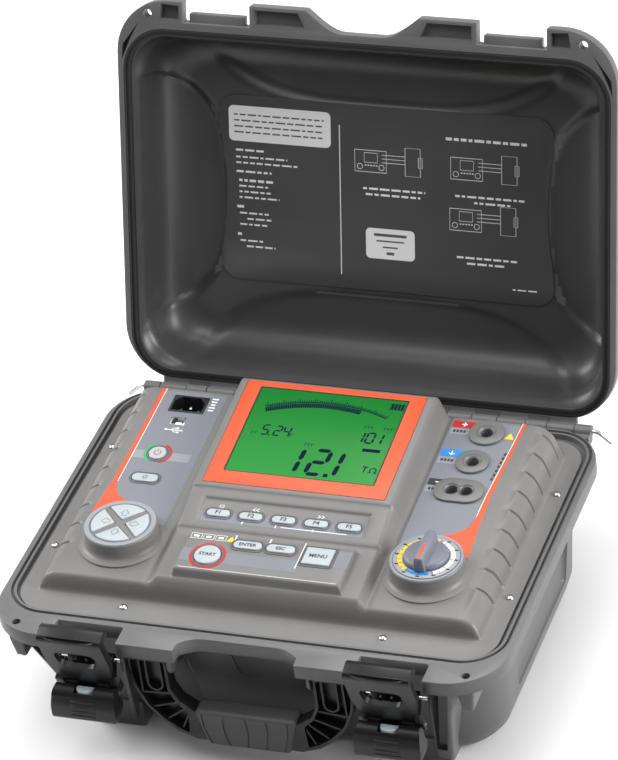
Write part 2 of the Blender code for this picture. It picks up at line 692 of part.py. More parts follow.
def fascia_columns():
    """Half columns from the outside in: x, field, share of the height above the flange."""
    return [
        (0.1870, "deck", 0.0),
        (0.1675, "deck", 0.0),
        (SHOULDER_X, "deck", 0.40),
        (0.1625, "deck", 0.76),
        (0.1570, "deck", 0.95),
        (DECK_OUTER_X, "deck", 1.0),
        (DECK_INNER_X, "deck", 1.0),
        (0.0835, "deck", 0.97),
        (CENTRE_HALF_X, "centre", 1.0),
        (SCREEN_HALF_X + 0.0008, "centre", 1.0),
        (SCREEN_HALF_X, "inner", 1.0),
    ]


def stadium(half_length, radius, steps=6):
    """Outline with two round ends, long along X."""
    points = []
    for centre, start in ((half_length - radius, -90), (radius - half_length, 90)):
        for i in range(steps + 1):
            angle = math.radians(start + 180 * i / steps)
            points.append((centre + radius * math.cos(angle), radius * math.sin(angle)))
    return points


def circle(radius, sides=20):
    return [
        (radius * math.cos(2 * math.pi * i / sides), radius * math.sin(2 * math.pi * i / sides))
        for i in range(sides)
    ]


def sector(direction, inner, outer, half_gap):
    """Quarter of a disc with its straight sides moved back from the diagonals."""
    reach = math.asin(half_gap / outer)
    spread = math.pi / 4 - reach
    points = [(inner, 0.0)]
    for i in range(7):
        angle = -spread + 2 * spread * i / 6
        points.append((outer * math.cos(angle), outer * math.sin(angle)))
    turn = Matrix.Rotation(direction, 2)
    return [tuple(turn @ Vector(point)) for point in points]


def grown(outline, margin):
    """The same outline, larger by about a margin on every side."""
    centre_x = sum(p[0] for p in outline) / len(outline)
    centre_y = sum(p[1] for p in outline) / len(outline)
    half_x = (max(p[0] for p in outline) - min(p[0] for p in outline)) / 2
    half_y = (max(p[1] for p in outline) - min(p[1] for p in outline)) / 2
    return [
        (centre_x + (x - centre_x) * (1 + margin / half_x), centre_y + (y - centre_y) * (1 + margin / half_y))
        for x, y in outline
    ]


def rectangle(half_x, half_y):
    return [(-half_x, -half_y), (half_x, -half_y), (half_x, half_y), (-half_x, half_y)]


SIDE_TILT = math.atan(SIDE_SLOPE)
SCREEN_TILT = math.atan(SCREEN_SLOPE)
PLATE_TILT = math.atan(PLATE_SLOPE)
RECESS_TILT = math.atan(0.125)


def recess_floor(y):
    """Height of the sloped floor behind the function keys."""
    return RIM_Z + 0.0268 + 0.125 * (y + 0.042)


def key_places():
    """Every push button: name, outline, x, y, surface height, tilt, height above the surface."""
    keys = [
        ("key_power", circle(0.0068), -0.1222, 0.0338, side_deck(0.0338), SIDE_TILT, 0.0014),
        ("key_backlight", stadium(0.0102, 0.0042), -0.1224, 0.0061, side_deck(0.0061), SIDE_TILT, 0.0014),
        ("key_start", circle(0.0097), -0.0418, -0.0800, plate_deck(-0.0800), PLATE_TILT, 0.0018),
        ("key_enter", stadium(0.0108, 0.0040), -0.0160, -0.0652, plate_deck(-0.0652), PLATE_TILT, 0.0014),
        ("key_escape", stadium(0.0108, 0.0040), 0.0092, -0.0652, plate_deck(-0.0652), PLATE_TILT, 0.0014),
        ("key_menu", rectangle(0.0106, 0.0088), 0.0388, -0.0687, plate_deck(-0.0687), PLATE_TILT, 0.0014),
    ]
    for i in range(5):
        keys.append(("key_function_%d" % (i + 1), stadium(0.0088, 0.0034), (i - 2) * 0.0251 + 0.0004, -0.0330,
                     recess_floor(-0.0330), RECESS_TILT, 0.0014))
    for i, word in enumerate(("right", "up", "left", "down")):
        keys.append(("key_arrow_" + word, sector(i * math.pi / 2, 0.0042, 0.0215, 0.0022),
                     -PEDESTAL_X, PEDESTAL_Y, PEDESTAL_TOP, 0.0, 0.0010))
    return keys


def make_fascia():
    """Console moulding: sloped decks, display block, raised plate and two round pedestals."""
    rows = fascia_rows()
    half = fascia_columns()
    columns = [(-x, field, share) for x, field, share in half] + [item for item in reversed(half)]
    bm = bmesh.new()
    grid = []
    for y, deck, centre, inner in rows:
        heights = {"deck": deck, "centre": centre, "inner": inner}
        line = []
        for x, field, share in columns:
            z = FASCIA_FLANGE_Z + share * (heights[field] - FASCIA_FLANGE_Z)
            line.append(bm.verts.new((x, y, z)))
        grid.append(line)
    for near, far in zip(grid, grid[1:]):
        for i in range(len(columns) - 1):
            bm.faces.new((near[i], near[i + 1], far[i + 1], far[i]))
    fascia = add_object("panel_fascia", finish_bmesh("panel_fascia", bm), PANEL_GREY)
    thicken = fascia.modifiers.new("wall", "SOLIDIFY")
    thicken.thickness = FASCIA_THICKNESS
    thicken.offset = -1.0

    outline = stacked(
        "fascia_outline",
        [(RIM_Z - 0.010, FASCIA_HALF_X, FASCIA_FRONT, FASCIA_REAR, 0.0255),
         (RIM_Z + 0.060, FASCIA_HALF_X, FASCIA_FRONT, FASCIA_REAR, 0.0255)],
        tool=True,
    )
    boolean(fascia, outline, "INTERSECT")
    for side in (-1, 1):
        pedestal = turned(
            "fascia_pedestal_%+d" % side,
            [(0.0, 0.0), (0.0262, 0.0), (0.0272, -0.0015), (0.0272, -0.0090), (0.0285, -0.0120),
             (0.0315, -0.0135), (0.0315, -0.0175), (0.0, -0.0175)],
            tool=True, steps=24,
        )
        pedestal.location = (side * PEDESTAL_X, PEDESTAL_Y, PEDESTAL_TOP)
        unite(fascia, pedestal)
        hollow = cylinder("fascia_pedestal_hollow_%+d" % side, 0.0238, PEDESTAL_TOP - 0.030,
                          PEDESTAL_TOP - FASCIA_THICKNESS, tool=True, sides=24,
                          centre=(side * PEDESTAL_X, PEDESTAL_Y))
        cut(fascia, hollow)
        for i, (x, y, top) in enumerate(((0.0570, -0.0885, 0.0248), (0.0376, -0.0330, 0.0266))):
            post = cylinder("fascia_post_%d_%+d" % (i, side), 0.0022, KEYPAD_Z + 0.0016 + GAP, RIM_Z + top,
                            tool=True, sides=8, centre=(side * x + 0.0004, y))
            unite(fascia, post)
    return fascia


def tilted_cut(target, name, outline, x, y, surface, tilt, low=-0.012, high=0.012):
    """Cut an outline through a tilted surface; low and high are measured along its normal."""
    holder = frame_empty(name + "_place", (x, y, surface), tilt)
    tool = put_on(prism(name, outline, low, high, tool=True), holder)
    cut(target, tool)
    return tool


def make_keys(fascia):
    """Push buttons, each in its own hole, free to travel along the normal of its deck."""
    for name, outline, x, y, surface, tilt, proud in key_places():
        tilted_cut(fascia, name + "_hole", grown(outline, KEY_CLEARANCE), x, y, surface, tilt)
        holder = frame_empty(name + "_axis", (x, y, surface), tilt)
        key = put_on(prism(name, outline, proud - 0.0056, proud, KEY_GREY), holder)
        add_bevel(key, 0.0005, 1, 40.0)


def make_display(fascia):
    """Orange bezel let into the block, clear window in it and the display module below."""
    middle = 0.0467
    holder = frame_empty("display_place", (0.0, middle, screen_deck(middle)), SCREEN_TILT)
    half_y = 0.0548
    pocket = put_on(prism("display_pocket", rectangle(0.0703, half_y + 0.0003), -0.0011, 0.01, tool=True), holder)
    shift = 0.0503 - middle
    hole = put_on(prism("display_hole", rectangle(0.0562, 0.0437), -0.02, 0.01, tool=True), holder,
                  (0.0, shift, 0.0))
    cut(fascia, pocket, hole)
    bezel = put_on(prism("display_bezel", rectangle(0.0700, half_y), -0.0008, 0.0003, BEZEL_ORANGE), holder)
    bezel_hole = put_on(prism("display_bezel_hole", rectangle(0.0583, 0.0453), -0.005, 0.005, tool=True), holder,
                        (0.0, shift, 0.0))
    cut(bezel, bezel_hole)
    put_on(prism("display_window", rectangle(0.0580, 0.0450), -0.0008, 0.0001, WINDOW_CLEAR), holder,
           (0.0, shift, 0.0))
    module = put_on(prism("display_module", rectangle(0.0600, 0.0480), -0.0095, -0.0030, SCREEN_GREEN), holder,
                    (0.0, shift, 0.0))
    return module


def make_dial(fascia):
    """Scale disc, rotary knob with its shaft, and the switch that it turns."""
    x, y, top = PEDESTAL_X, PEDESTAL_Y, PEDESTAL_TOP
    shaft_hole = cylinder("dial_shaft_hole", 0.0042, top - 0.020, top + 0.010, tool=True, centre=(x, y))
    cut(fascia, shaft_hole)
    dial = cylinder("dial_scale", 0.0240, top + GAP, top + 0.0009, DIAL_LIGHT, sides=28, centre=(x, y))
    dial_hole = cylinder("dial_scale_hole", 0.0168, top - 0.002, top + 0.004, tool=True, sides=28, centre=(x, y))
    cut(dial, dial_hole)
    knob = turned(
        "rotary_knob",
        [(0.0, 0.0050), (0.0150, 0.0050), (0.0163, 0.0038), (0.0163, 0.0004), (0.0030, 0.0004),
         (0.0030, -0.0150), (0.0, -0.0150)],
        KNOB_DARK, steps=24,
    )
    knob.location = (x, y, top)
    bar = box("rotary_knob_bar", (x - 0.0040, y - 0.0180, top + 0.0012), (x + 0.0040, y + 0.0180, top + 0.0125),
              tool=True, bevel=0.0012)
    unite(knob, bar)
    switch = cylinder("rotary_switch", 0.0140, top - 0.0230, top - FASCIA_THICKNESS - GAP, MODULE_GREY, sides=16,
                      centre=(x, y))
    bore = cylinder("rotary_switch_bore", 0.0034, top - 0.0180, top, tool=True, sides=12, centre=(x, y))
    cut(switch, bore)


def make_sockets(fascia):
    """Three shielded test sockets and the two supply and data inlets on the decks."""
    for name, x, y, outline, bores in (
        ("socket_positive", 0.1165, 0.0920, circle(0.0134, 24), (0.0,)),
        ("socket_guard", 0.1150, 0.0596, circle(0.0126, 24), (0.0,)),
        ("socket_negative", 0.1141, 0.0277, stadium(0.0190, 0.0124, 8), (-0.0055, 0.0055)),
    ):
        surface = side_deck(y)
        holder = frame_empty(name + "_place", (x, y, surface), SIDE_TILT)
        body_outline = grown(outline, -0.0022)
        tilted_cut(fascia, name + "_hole", grown(outline, -0.0019), x, y, surface, SIDE_TILT)
        socket = put_on(prism(name, outline, GAP, 0.0018, SOCKET_GREY), holder)
        add_bevel(socket, 0.0006, 1, 40.0)
        stem = put_on(prism(name + "_stem", body_outline, -0.0270, 0.0010, tool=True), holder)
        unite(socket, stem)
        for i, offset in enumerate(bores):
            bore = put_on(prism("%s_bore_%d" % (name, i), circle(0.0048, 16), -0.0240, 0.01, tool=True), holder,
                          (offset, 0.0, 0.0))
            cut(socket, bore)

    x, y = -0.1171, 0.0905
    holder = frame_empty("inlet_place", (x, y, side_deck(y)), SIDE_TILT)
    tilted_cut(fascia, "mains_inlet_hole", rectangle(0.0145, 0.0097), x, y, side_deck(y), SIDE_TILT)
    inlet = put_on(prism("mains_inlet", rectangle(0.0141, 0.0093), -0.0230, 0.0004, INLET_BLACK), holder)
    mouth = [(-0.0122, -0.0076), (0.0122, -0.0076), (0.0122, 0.0028), (0.0072, 0.0076), (-0.0072, 0.0076),
             (-0.0122, 0.0028)]
    cavity = put_on(prism("mains_inlet_mouth", mouth, -0.0170, 0.005, tool=True), holder)
    cut(inlet, cavity)
    for i, (px, py) in enumerate(((-0.0070, -0.0022), (0.0, 0.0020), (0.0070, -0.0022))):
        pin = put_on(prism("mains_inlet_pin_%d" % i, rectangle(0.0010, 0.0020), -0.0190, -0.0045, tool=True), holder,
                     (px, py, 0.0))
        unite(inlet, pin)

    x, y = -0.1192, 0.0711
    holder = frame_empty("usb_place", (x, y, side_deck(y)), SIDE_TILT)
    tilted_cut(fascia, "usb_hole", rectangle(0.0064, 0.0047), x, y, side_deck(y), SIDE_TILT)
    usb = put_on(prism("usb_socket", rectangle(0.0060, 0.0043), -0.0160, 0.0003, KEY_GREY), holder)
    hollow = put_on(prism("usb_socket_mouth", rectangle(0.0045, 0.0036), -0.0120, 0.005, tool=True), holder)
    cut(usb, hollow)


def make_panel_screws(base, fascia):
    """Six screws that hold the panel to the ledge of the base."""
    places = [(-0.0985, -0.1140), (0.0985, -0.1140), (-0.1745, -0.0545), (0.1745, -0.0545), (-0.1745, 0.0670),
              (0.1745, 0.0670)]
    for i, (x, y) in enumerate(places):
        hole = cylinder("screw_hole_%d" % i, 0.0019, RIM_Z - 0.0115, RIM_Z + 0.003, tool=True, sides=10, centre=(x, y))
        if abs(x) > 0.12:
            cut(base, hole)
        cut(fascia, hole)
        screw = turned(
            "panel_screw_%d" % (i + 1),
            [(0.0, 0.0019), (0.0016, 0.0017), (0.0028, 0.0009), (0.0030, GAP), (0.0014, GAP), (0.0014, -0.0070),
             (0.0, -0.0070)],
            STEEL, steps=10,
        )
        screw.location = (x, y, FASCIA_FLANGE_Z)


def make_inside():
    """Battery pack, high-voltage module and circuit boards inside the case."""
    floor = WALL + GAP
    box("battery_pack", (-0.135, -0.060, floor), (-0.020, 0.030, 0.0480), CELL_BLUE, bevel=0.004)
    box("high_voltage_module", (0.020, -0.060, floor), (0.130, 0.060, 0.0450), MODULE_GREY, bevel=0.003)
    box("main_board", (-0.150, -0.085, BOARD_Z), (0.150, 0.100, BOARD_Z + 0.0016), BOARD_GREEN)
    box("keypad_board", (-0.0600, -0.0915, KEYPAD_Z), (0.0600, -0.0260, KEYPAD_Z + 0.0016), BOARD_GREEN)


def main():
    base = make_base()
    hinge = frame_empty("lid_hinge", (0.0, HINGE_Y, HINGE_Z), -LID_OPEN)
    make_lid(hinge)
    make_lid_fittings(hinge)
    make_hinge_pins()
    for side, word in ((-1, "left"), (1, "right")):
        make_latch(side, word)
    make_handle()
    fascia = make_fascia()
    make_keys(fascia)
    make_display(fascia)
    make_dial(fascia)
    make_sockets(fascia)
    make_panel_screws(base, fascia)
    make_inside()


main()
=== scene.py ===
"""Looks of the insulation resistance tester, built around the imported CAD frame."""
import json
from math import asin, atan, copysign, cos, degrees, dist, hypot, pi, radians, sin

import bmesh
import bpy
import numpy as np
from mathutils import Matrix, Vector

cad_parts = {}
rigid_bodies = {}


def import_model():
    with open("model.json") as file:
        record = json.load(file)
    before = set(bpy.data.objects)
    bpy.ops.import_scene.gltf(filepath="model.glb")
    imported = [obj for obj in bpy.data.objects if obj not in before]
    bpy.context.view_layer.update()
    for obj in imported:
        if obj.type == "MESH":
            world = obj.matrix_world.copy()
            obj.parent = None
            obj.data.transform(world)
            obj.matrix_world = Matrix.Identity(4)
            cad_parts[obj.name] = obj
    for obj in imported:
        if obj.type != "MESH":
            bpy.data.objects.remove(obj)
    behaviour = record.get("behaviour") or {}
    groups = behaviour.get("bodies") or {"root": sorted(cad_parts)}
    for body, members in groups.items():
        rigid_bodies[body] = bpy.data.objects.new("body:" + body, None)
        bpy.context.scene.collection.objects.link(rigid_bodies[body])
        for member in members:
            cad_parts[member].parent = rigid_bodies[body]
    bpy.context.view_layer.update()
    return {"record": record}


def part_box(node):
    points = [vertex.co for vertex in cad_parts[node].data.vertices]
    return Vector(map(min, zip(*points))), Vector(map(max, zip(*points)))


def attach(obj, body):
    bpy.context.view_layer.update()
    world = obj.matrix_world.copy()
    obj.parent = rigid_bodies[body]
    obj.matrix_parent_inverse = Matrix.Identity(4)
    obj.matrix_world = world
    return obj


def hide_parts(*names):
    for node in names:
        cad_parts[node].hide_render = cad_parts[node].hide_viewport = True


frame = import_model()

# ------------------------------------------------------------------ dimensions, metres
HINGE = next(joint for joint in frame["record"]["behaviour"]["joints"] if joint["name"] == "lid_hinge")
HINGE_Y, HINGE_Z = HINGE["pos_m"][1:]
LID_OPEN = radians(HINGE["range_deg"][1])
RIM = HINGE_Z + 0.004                 # parting plane between base and lid
SIDE = (RIM + 0.0209, 0.075)          # level at y = 0 and slope of each deck
SCREEN = (RIM + 0.03736, 0.112)
PLATE = (RIM + 0.031, 0.053)
RECESS = (RIM + 0.03205, 0.125)
PED_X, PED_Y, PED_TOP = 0.117, -0.0583, RIM + 0.0295   # keypad (-x) and dial (+x)
FLAT_TOP = (PED_TOP, 0.0)
PIN_R, BORE_R = 0.0015, 0.0018
LATCH_X = 0.115
LATCH_AXIS = (-0.144, RIM - 0.026)
HANDLE_AXIS = (-0.144, RIM - 0.0215)
PADLOCK = (0.1695, -0.1451)
POWER_X, POWER_Y = -0.1222, 0.0338
LAMP_X, LAMP_Y = -0.1224, 0.0061
INLET_X, INLET_Y = -0.1171, 0.0905
DATA_X, DATA_Y = -0.1192, 0.0711
DIRECTIONS = ("right", "up", "left", "down")


def deck(which, y):
    return which[0] + which[1] * y


# ------------------------------------------------------------------ materials
GLOSS_CHANGE = 0.08


def new_material(name, colour, roughness, metallic=0.0):
    made = bpy.data.materials.new(name)
    made.use_nodes = True
    shader = made.node_tree.nodes["Principled BSDF"]
    shader.inputs["Base Color"].default_value = (*colour, 1.0)
    shader.inputs["Roughness"].default_value = roughness
    shader.inputs["Metallic"].default_value = metallic
    return made, made.node_tree, shader


def moulded(name, colour, roughness, grain, depth=0.00008, mottle=0.1, metallic=0.0, specular=0.5):
    """Moulded plastic or metal: fine grain in the bump, slow changes in colour and gloss."""
    made, tree, shader = new_material(name, colour, roughness, metallic)
    nodes, links = tree.nodes, tree.links
    shader.inputs["Specular IOR Level"].default_value = specular
    place = nodes.new("ShaderNodeTexCoord")
    fine = nodes.new("ShaderNodeTexNoise")
    fine.inputs["Scale"].default_value = grain
    fine.inputs["Detail"].default_value = 3.0
    slow = nodes.new("ShaderNodeTexNoise")
    slow.inputs["Scale"].default_value = 38.0
    slow.inputs["Detail"].default_value = 4.0
    links.new(place.outputs["Object"], fine.inputs["Vector"])
    links.new(place.outputs["Object"], slow.inputs["Vector"])
    bump = nodes.new("ShaderNodeBump")
    bump.inputs["Strength"].default_value = 0.5
    bump.inputs["Distance"].default_value = depth
    links.new(fine.outputs["Fac"], bump.inputs["Height"])
    links.new(bump.outputs["Normal"], shader.inputs["Normal"])
    mix = nodes.new("ShaderNodeMix")
    mix.data_type = "RGBA"
    dark = [c * (1.0 - mottle) for c in colour]
    light = [min(1.0, c * (1.0 + mottle)) for c in colour]
    mix.inputs[6].default_value = (*dark, 1.0)
    mix.inputs[7].default_value = (*light, 1.0)
    links.new(slow.outputs["Fac"], mix.inputs[0])
    links.new(mix.outputs[2], shader.inputs["Base Color"])
    span = nodes.new("ShaderNodeMapRange")
    span.inputs["To Min"].default_value = max(0.02, roughness - GLOSS_CHANGE)
    span.inputs["To Max"].default_value = roughness + GLOSS_CHANGE
    links.new(slow.outputs["Fac"], span.inputs["Value"])
    links.new(span.outputs["Result"], shader.inputs["Roughness"])
    return made


def ink(name, colour, depth=0.00001, mottle=0.02, roughness=0.45, specular=0.5):
    """Print, with hardly any grain."""
    return moulded(name, colour, roughness, 2500.0, depth, mottle, specular=specular)


CASE = moulded("case_plastic", (0.125, 0.125, 0.126), 0.37, 1700.0, 0.00012)
# darker copy of the case plastic for the faces inside the lid: painted shade, not a different plastic
LID_INNER_SHADE = moulded("case_inner_painted_shade", (0.052, 0.052, 0.053), 0.33, 1700.0)
PANEL = moulded("panel_plastic", (0.165, 0.161, 0.158), 0.4, 2200.0, 0.0001)
LABEL = ink("label_print", (0.185, 0.195, 0.222), 0.00002, 0.04)
LABEL_PALE = ink("label_pale", (0.265, 0.28, 0.305), 0.00002, 0.04)
LATCH = moulded("latch_plastic", (0.009, 0.009, 0.01), 0.34, 1500.0, specular=0.32)
GRIP = moulded("grip_rubber", (0.078, 0.078, 0.08), 0.5, 1200.0, 0.00015)
GASKET = moulded("gasket_rubber", (0.012, 0.012, 0.012), 0.55, 900.0, 0.0001)
STEEL = moulded("bright_steel", (0.62, 0.62, 0.63), 0.24, 3000.0, 0.00002, 0.05, metallic=1.0)
KEY = moulded("key_plastic", (0.4, 0.445, 0.465), 0.42, 2600.0, 0.00003, 0.03)
KEY_DARK = moulded("key_surround", (0.1, 0.1, 0.105), 0.5, 2200.0, 0.00005)
ORANGE = ink("orange_print", (0.7, 0.085, 0.026), 0.00003, 0.03, 0.42)
WHITE = ink("white_print", (0.9, 0.9, 0.9), roughness=0.5)
INK = ink("dark_print", (0.018, 0.019, 0.024), roughness=0.5)
RED = ink("red_print", (0.5, 0.006, 0.01))
BLUE = ink("blue_print", (0.01, 0.24, 0.62))
YELLOW = ink("yellow_print", (0.9, 0.58, 0.03))
GREEN_INK = ink("green_print", (0.02, 0.4, 0.1))
NAVY = ink("lcd_segments", (0.003, 0.01, 0.028), roughness=0.5, specular=0.05)
DIAL = ink("dial_print", (0.3, 0.31, 0.33), 0.00002, 0.03)
PLAQUE = ink("plaque_print", (0.066, 0.066, 0.069), 0.00002, 0.03, 0.36)
SOCKET = moulded("socket_plastic", (0.15, 0.148, 0.146), 0.32, 2000.0, 0.00003)
INLET = moulded("inlet_plastic", (0.016, 0.016, 0.018), 0.3, 2000.0, 0.00003)
KNOB = moulded("knob_plastic", (0.165, 0.175, 0.215), 0.4, 2400.0, 0.00004)
BOARD = moulded("solder_mask", (0.02, 0.13, 0.06), 0.3, 400.0, 0.00003)
MODULE = moulded("module_metal", (0.2, 0.21, 0.22), 0.4, 800.0, 0.00003, metallic=0.6)
CELL = moulded("battery_wrap", (0.04, 0.1, 0.28), 0.3, 500.0, 0.00003)


def lcd_material():
    """Backlit green liquid crystal display, brighter below."""
    made, tree, shader = new_material("lcd_green", (0.04, 0.34, 0.06), 0.12)
    nodes, links = tree.nodes, tree.links
    shader.inputs["Specular IOR Level"].default_value = 0.12
    place = nodes.new("ShaderNodeTexCoord")
    split = nodes.new("ShaderNodeSeparateXYZ")
    links.new(place.outputs["Object"], split.inputs["Vector"])
    span = nodes.new("ShaderNodeMapRange")
    span.inputs["From Min"].default_value = 0.0
    span.inputs["From Max"].default_value = 0.095
    links.new(split.outputs["Y"], span.inputs["Value"])
    ramp = nodes.new("ShaderNodeValToRGB")
    ramp.color_ramp.elements[0].color = (0.024, 0.2, 0.036, 1.0)
    ramp.color_ramp.elements[1].color = (0.01, 0.13, 0.022, 1.0)
    links.new(span.outputs["Result"], ramp.inputs["Fac"])
    links.new(ramp.outputs["Color"], shader.inputs["Base Color"])
    links.new(ramp.outputs["Color"], shader.inputs["Emission Color"])
    shader.inputs["Emission Strength"].default_value = 0.25
    return made


LCD = lcd_material()


# ------------------------------------------------------------------ mesh helpers
def scratch(name, bm, bevel=0.0, segments=2, limit=35.0):
    """A linked object from a bmesh, with outward normals and an optional applied bevel."""
    bmesh.ops.recalc_face_normals(bm, faces=bm.faces)
    mesh = bpy.data.meshes.new(name)
    bm.to_mesh(mesh)
    bm.free()
    made = bpy.data.objects.new(name, mesh)
    bpy.context.scene.collection.objects.link(made)
    if bevel:
        edge = made.modifiers.new("edge", "BEVEL")
        edge.width = bevel
        edge.segments = segments
        edge.limit_method = "ANGLE"
        edge.angle_limit = radians(limit)
        edge.use_clamp_overlap = True
        applied(made)
    return made


def meshed(name, curve):
    """A linked mesh object made from a curve or from lettering."""
    source = bpy.data.objects.new(name + "_source", curve)
    bpy.context.scene.collection.objects.link(source)
    graph = bpy.context.evaluated_depsgraph_get()
    made = bpy.data.objects.new(name, bpy.data.meshes.new_from_object(source.evaluated_get(graph)))
    bpy.context.scene.collection.objects.link(made)
    bpy.data.objects.remove(source)
    return made


def applied(made):
    """Replaces an object's mesh by its evaluated one."""
    graph = bpy.context.evaluated_depsgraph_get()
    mesh = bpy.data.meshes.new_from_object(made.evaluated_get(graph))
    made.modifiers.clear()
    made.data = mesh
    return made


def boolean(target, tools, operation="DIFFERENCE"):
    """Applies one boolean with each tool, and removes the tools."""
    for tool in tools:
        step = target.modifiers.new("step", "BOOLEAN")
        step.operation = operation
        step.solver = "EXACT"
        step.object = tool
        applied(target)
        bpy.data.objects.remove(tool)
    return target


def merged(name, objects):
    """One scratch object that holds several bodies which don't touch."""
    bm = bmesh.new()
    for item in objects:
        item.data.transform(item.matrix_world)
        bm.from_mesh(item.data)
        bpy.data.objects.remove(item)
    return scratch(name, bm)


def shown(made, look, body, stands_for=(), angle=32.0, matrix=None):
    """Finishes a piece: material, shading, the body it rides on and what it stands for."""
    if matrix is not None:
        made.data.transform(matrix)
    made.data.materials.clear()
    made.data.materials.append(look)
    for face in made.data.polygons:
        face.material_index = 0
        face.use_smooth = True
    made.data.set_sharp_from_angle(angle=radians(angle))
    if stands_for:
        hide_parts(*stands_for)
    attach(made, body)
    return made


def outline(half_x, front, rear, radius, corner=10, side=1):
    """Rounded rectangle, anticlockwise, with subdivided sides."""
    points = []
    corners = ((half_x - radius, rear - radius, 0.0), (-half_x + radius, rear - radius, 0.5),
        (-half_x + radius, front + radius, 1.0), (half_x - radius, front + radius, 1.5))
    for number, (cx, cy, start) in enumerate(corners):
        for i in range(corner + 1):
            angle = pi * (start + 0.5 * i / corner)
            points.append((cx + radius * cos(angle), cy + radius * sin(angle)))
        nx, ny, nstart = corners[(number + 1) % 4]
        angle = pi * nstart
        end = (nx + radius * cos(angle), ny + radius * sin(angle))
        last = points[-1]
        for i in range(1, side):
            points.append((last[0] + (end[0] - last[0]) * i / side,
                last[1] + (end[1] - last[1]) * i / side))
    return points


def loft(name, sections, bevel=0.0, segments=2, limit=35.0):
    bm = bmesh.new()
    rings = [[bm.verts.new(point) for point in section] for section in sections]
    count = len(rings[0])
    for lower, upper in zip(rings, rings[1:]):
        for i in range(count):
            j = (i + 1) % count
            bm.faces.new((lower[i], lower[j], upper[j], upper[i]))
    bm.faces.new(list(reversed(rings[0])))
    bm.faces.new(rings[-1])
    return scratch(name, bm, bevel, segments, limit)


def stacked(name, layers, corner=10, bevel=0.0):
    """Loft of rounded rectangles given as (z, half_x, front, rear, radius)."""
    sections = []
    for z, half_x, front, rear, radius in layers:
        sections.append([(x, y, z) for x, y in outline(half_x, front, rear, radius, corner)])
    return loft(name, sections, bevel)


def prism(name, points, low, high, plane="XY", bevel=0.0, segments=2, limit=35.0):
    """Outline pushed out between two levels along the axis normal to its plane."""
    order = {"XY": lambda a, b, c: (a, b, c), "XZ": lambda a, b, c: (a, c, b), "YZ": lambda a, b,
        c: (c, a, b)}[plane]
    bm = bmesh.new()
    face = bm.faces.new([bm.verts.new(order(a, b, low)) for a, b in points])
    grown = bmesh.ops.extrude_face_region(bm, geom=[face])
    moved = [item for item in grown["geom"] if isinstance(item, bmesh.types.BMVert)]
    bmesh.ops.translate(bm, verts=moved, vec=order(0.0, 0.0, high - low))
    return scratch(name, bm, bevel, segments, limit)


def rect(x0, y0, x1, y1):
    return [(x0, y0), (x1, y0), (x1, y1), (x0, y1)]


def block(name, low, high, bevel=0.0):
    return prism(name, rect(*low[:2], *high[:2]), low[2], high[2], bevel=bevel)


def tapered(name, side, lower, low, upper, high, bevel=0.0, segments=3):
    """Block whose two outlines differ, at the levels low and high, drawn for the right side."""
    return loft(name, [[(side * x, y, z) for x, y in points] for points,
        z in ((lower, low), (upper, high))], bevel, segments)


def trapezium(x, low_half, low_z, high_half, high_z):
    """Symmetrical outline in the front plane, its heights taken from the parting plane."""
    return [(x - low_half, RIM + low_z), (x + low_half, RIM + low_z), (x + high_half, RIM + high_z),
        (x - high_half, RIM + high_z)]


def ends(side, inner, outer):
    """The two ends of a length that lies on the left or the right side."""
    return sorted((side * inner, side * outer))


def circle(radius, sides=40, centre=(0.0, 0.0)):
    angles = [2 * pi * i / sides for i in range(sides)]
    return [(centre[0] + radius * cos(a), centre[1] + radius * sin(a)) for a in angles]


def rod(name, radius, low, high, centre, axis="X", sides=24, bevel=0.0):
    plane = {"X": "YZ", "Y": "XZ", "Z": "XY"}[axis]
    return prism(name, circle(radius, sides, centre), low, high, plane, bevel)


def turned(name, profile, centre, steps=48):
    """Profile (radius, z) turned about a vertical axis."""
    bm = bmesh.new()
    rings = []
    for radius, z in profile:
        if radius < 1e-6:
            rings.append([bm.verts.new((centre[0], centre[1], z))])
        else:
            rings.append([bm.verts.new((x, y, z)) for x, y in circle(radius, steps, centre)])
    for a, b in zip(rings, rings[1:]):
        for i in range(steps):
            j = (i + 1) % steps
            if len(a) == 1 and len(b) > 1:
                bm.faces.new((a[0], b[i], b[j]))
            elif len(b) == 1 and len(a) > 1:
                bm.faces.new((a[i], b[0], a[j]))
            elif len(a) > 1:
                bm.faces.new((a[i], b[i], b[j], a[j]))
    return scratch(name, bm)


def stadium(half_length, radius, steps=12):
    points = []
    for centre, start in ((half_length - radius, -90), (radius - half_length, 90)):
        for i in range(steps + 1):
            angle = radians(start + 180 * i / steps)
            points.append((centre + radius * cos(angle), radius * sin(angle)))
    return points


def tilted(which, x, y):
    """Matrix of a frame that lies on a sloped deck, its Z along the deck's normal."""
    return Matrix.Translation((x, y, deck(which, y))) @ Matrix.Rotation(atan(which[1]), 4, "X")


LID_TURN = (Matrix.Translation((0.0, HINGE_Y, HINGE_Z)) @ Matrix.Rotation(-LID_OPEN, 4, "X")
    @ Matrix.Translation((0.0, -HINGE_Y, -HINGE_Z)))


def arc(centre, radius, start, end, steps):
    """Points on an arc, angles in degrees."""
    angles = [radians(start + (end - start) * i / steps) for i in range(steps + 1)]
    return [(centre[0] + radius * cos(a), centre[1] + radius * sin(a)) for a in angles]


def ribbon(points, width, closed=False):
    """Outline of a line of some width along a path."""
    left, right = [], []
    count = len(points)
    for i, point in enumerate(points):
        if closed:
            before, after = points[i - 1], points[(i + 1) % count]
        else:
            before, after = points[max(0, i - 1)], points[min(count - 1, i + 1)]
        dx, dy = after[0] - before[0], after[1] - before[1]
        length = hypot(dx, dy) or 1.0
        nx, ny = -dy / length * width / 2, dx / length * width / 2
        left.append((point[0] + nx, point[1] + ny))
        right.append((point[0] - nx, point[1] - ny))
    return left, right


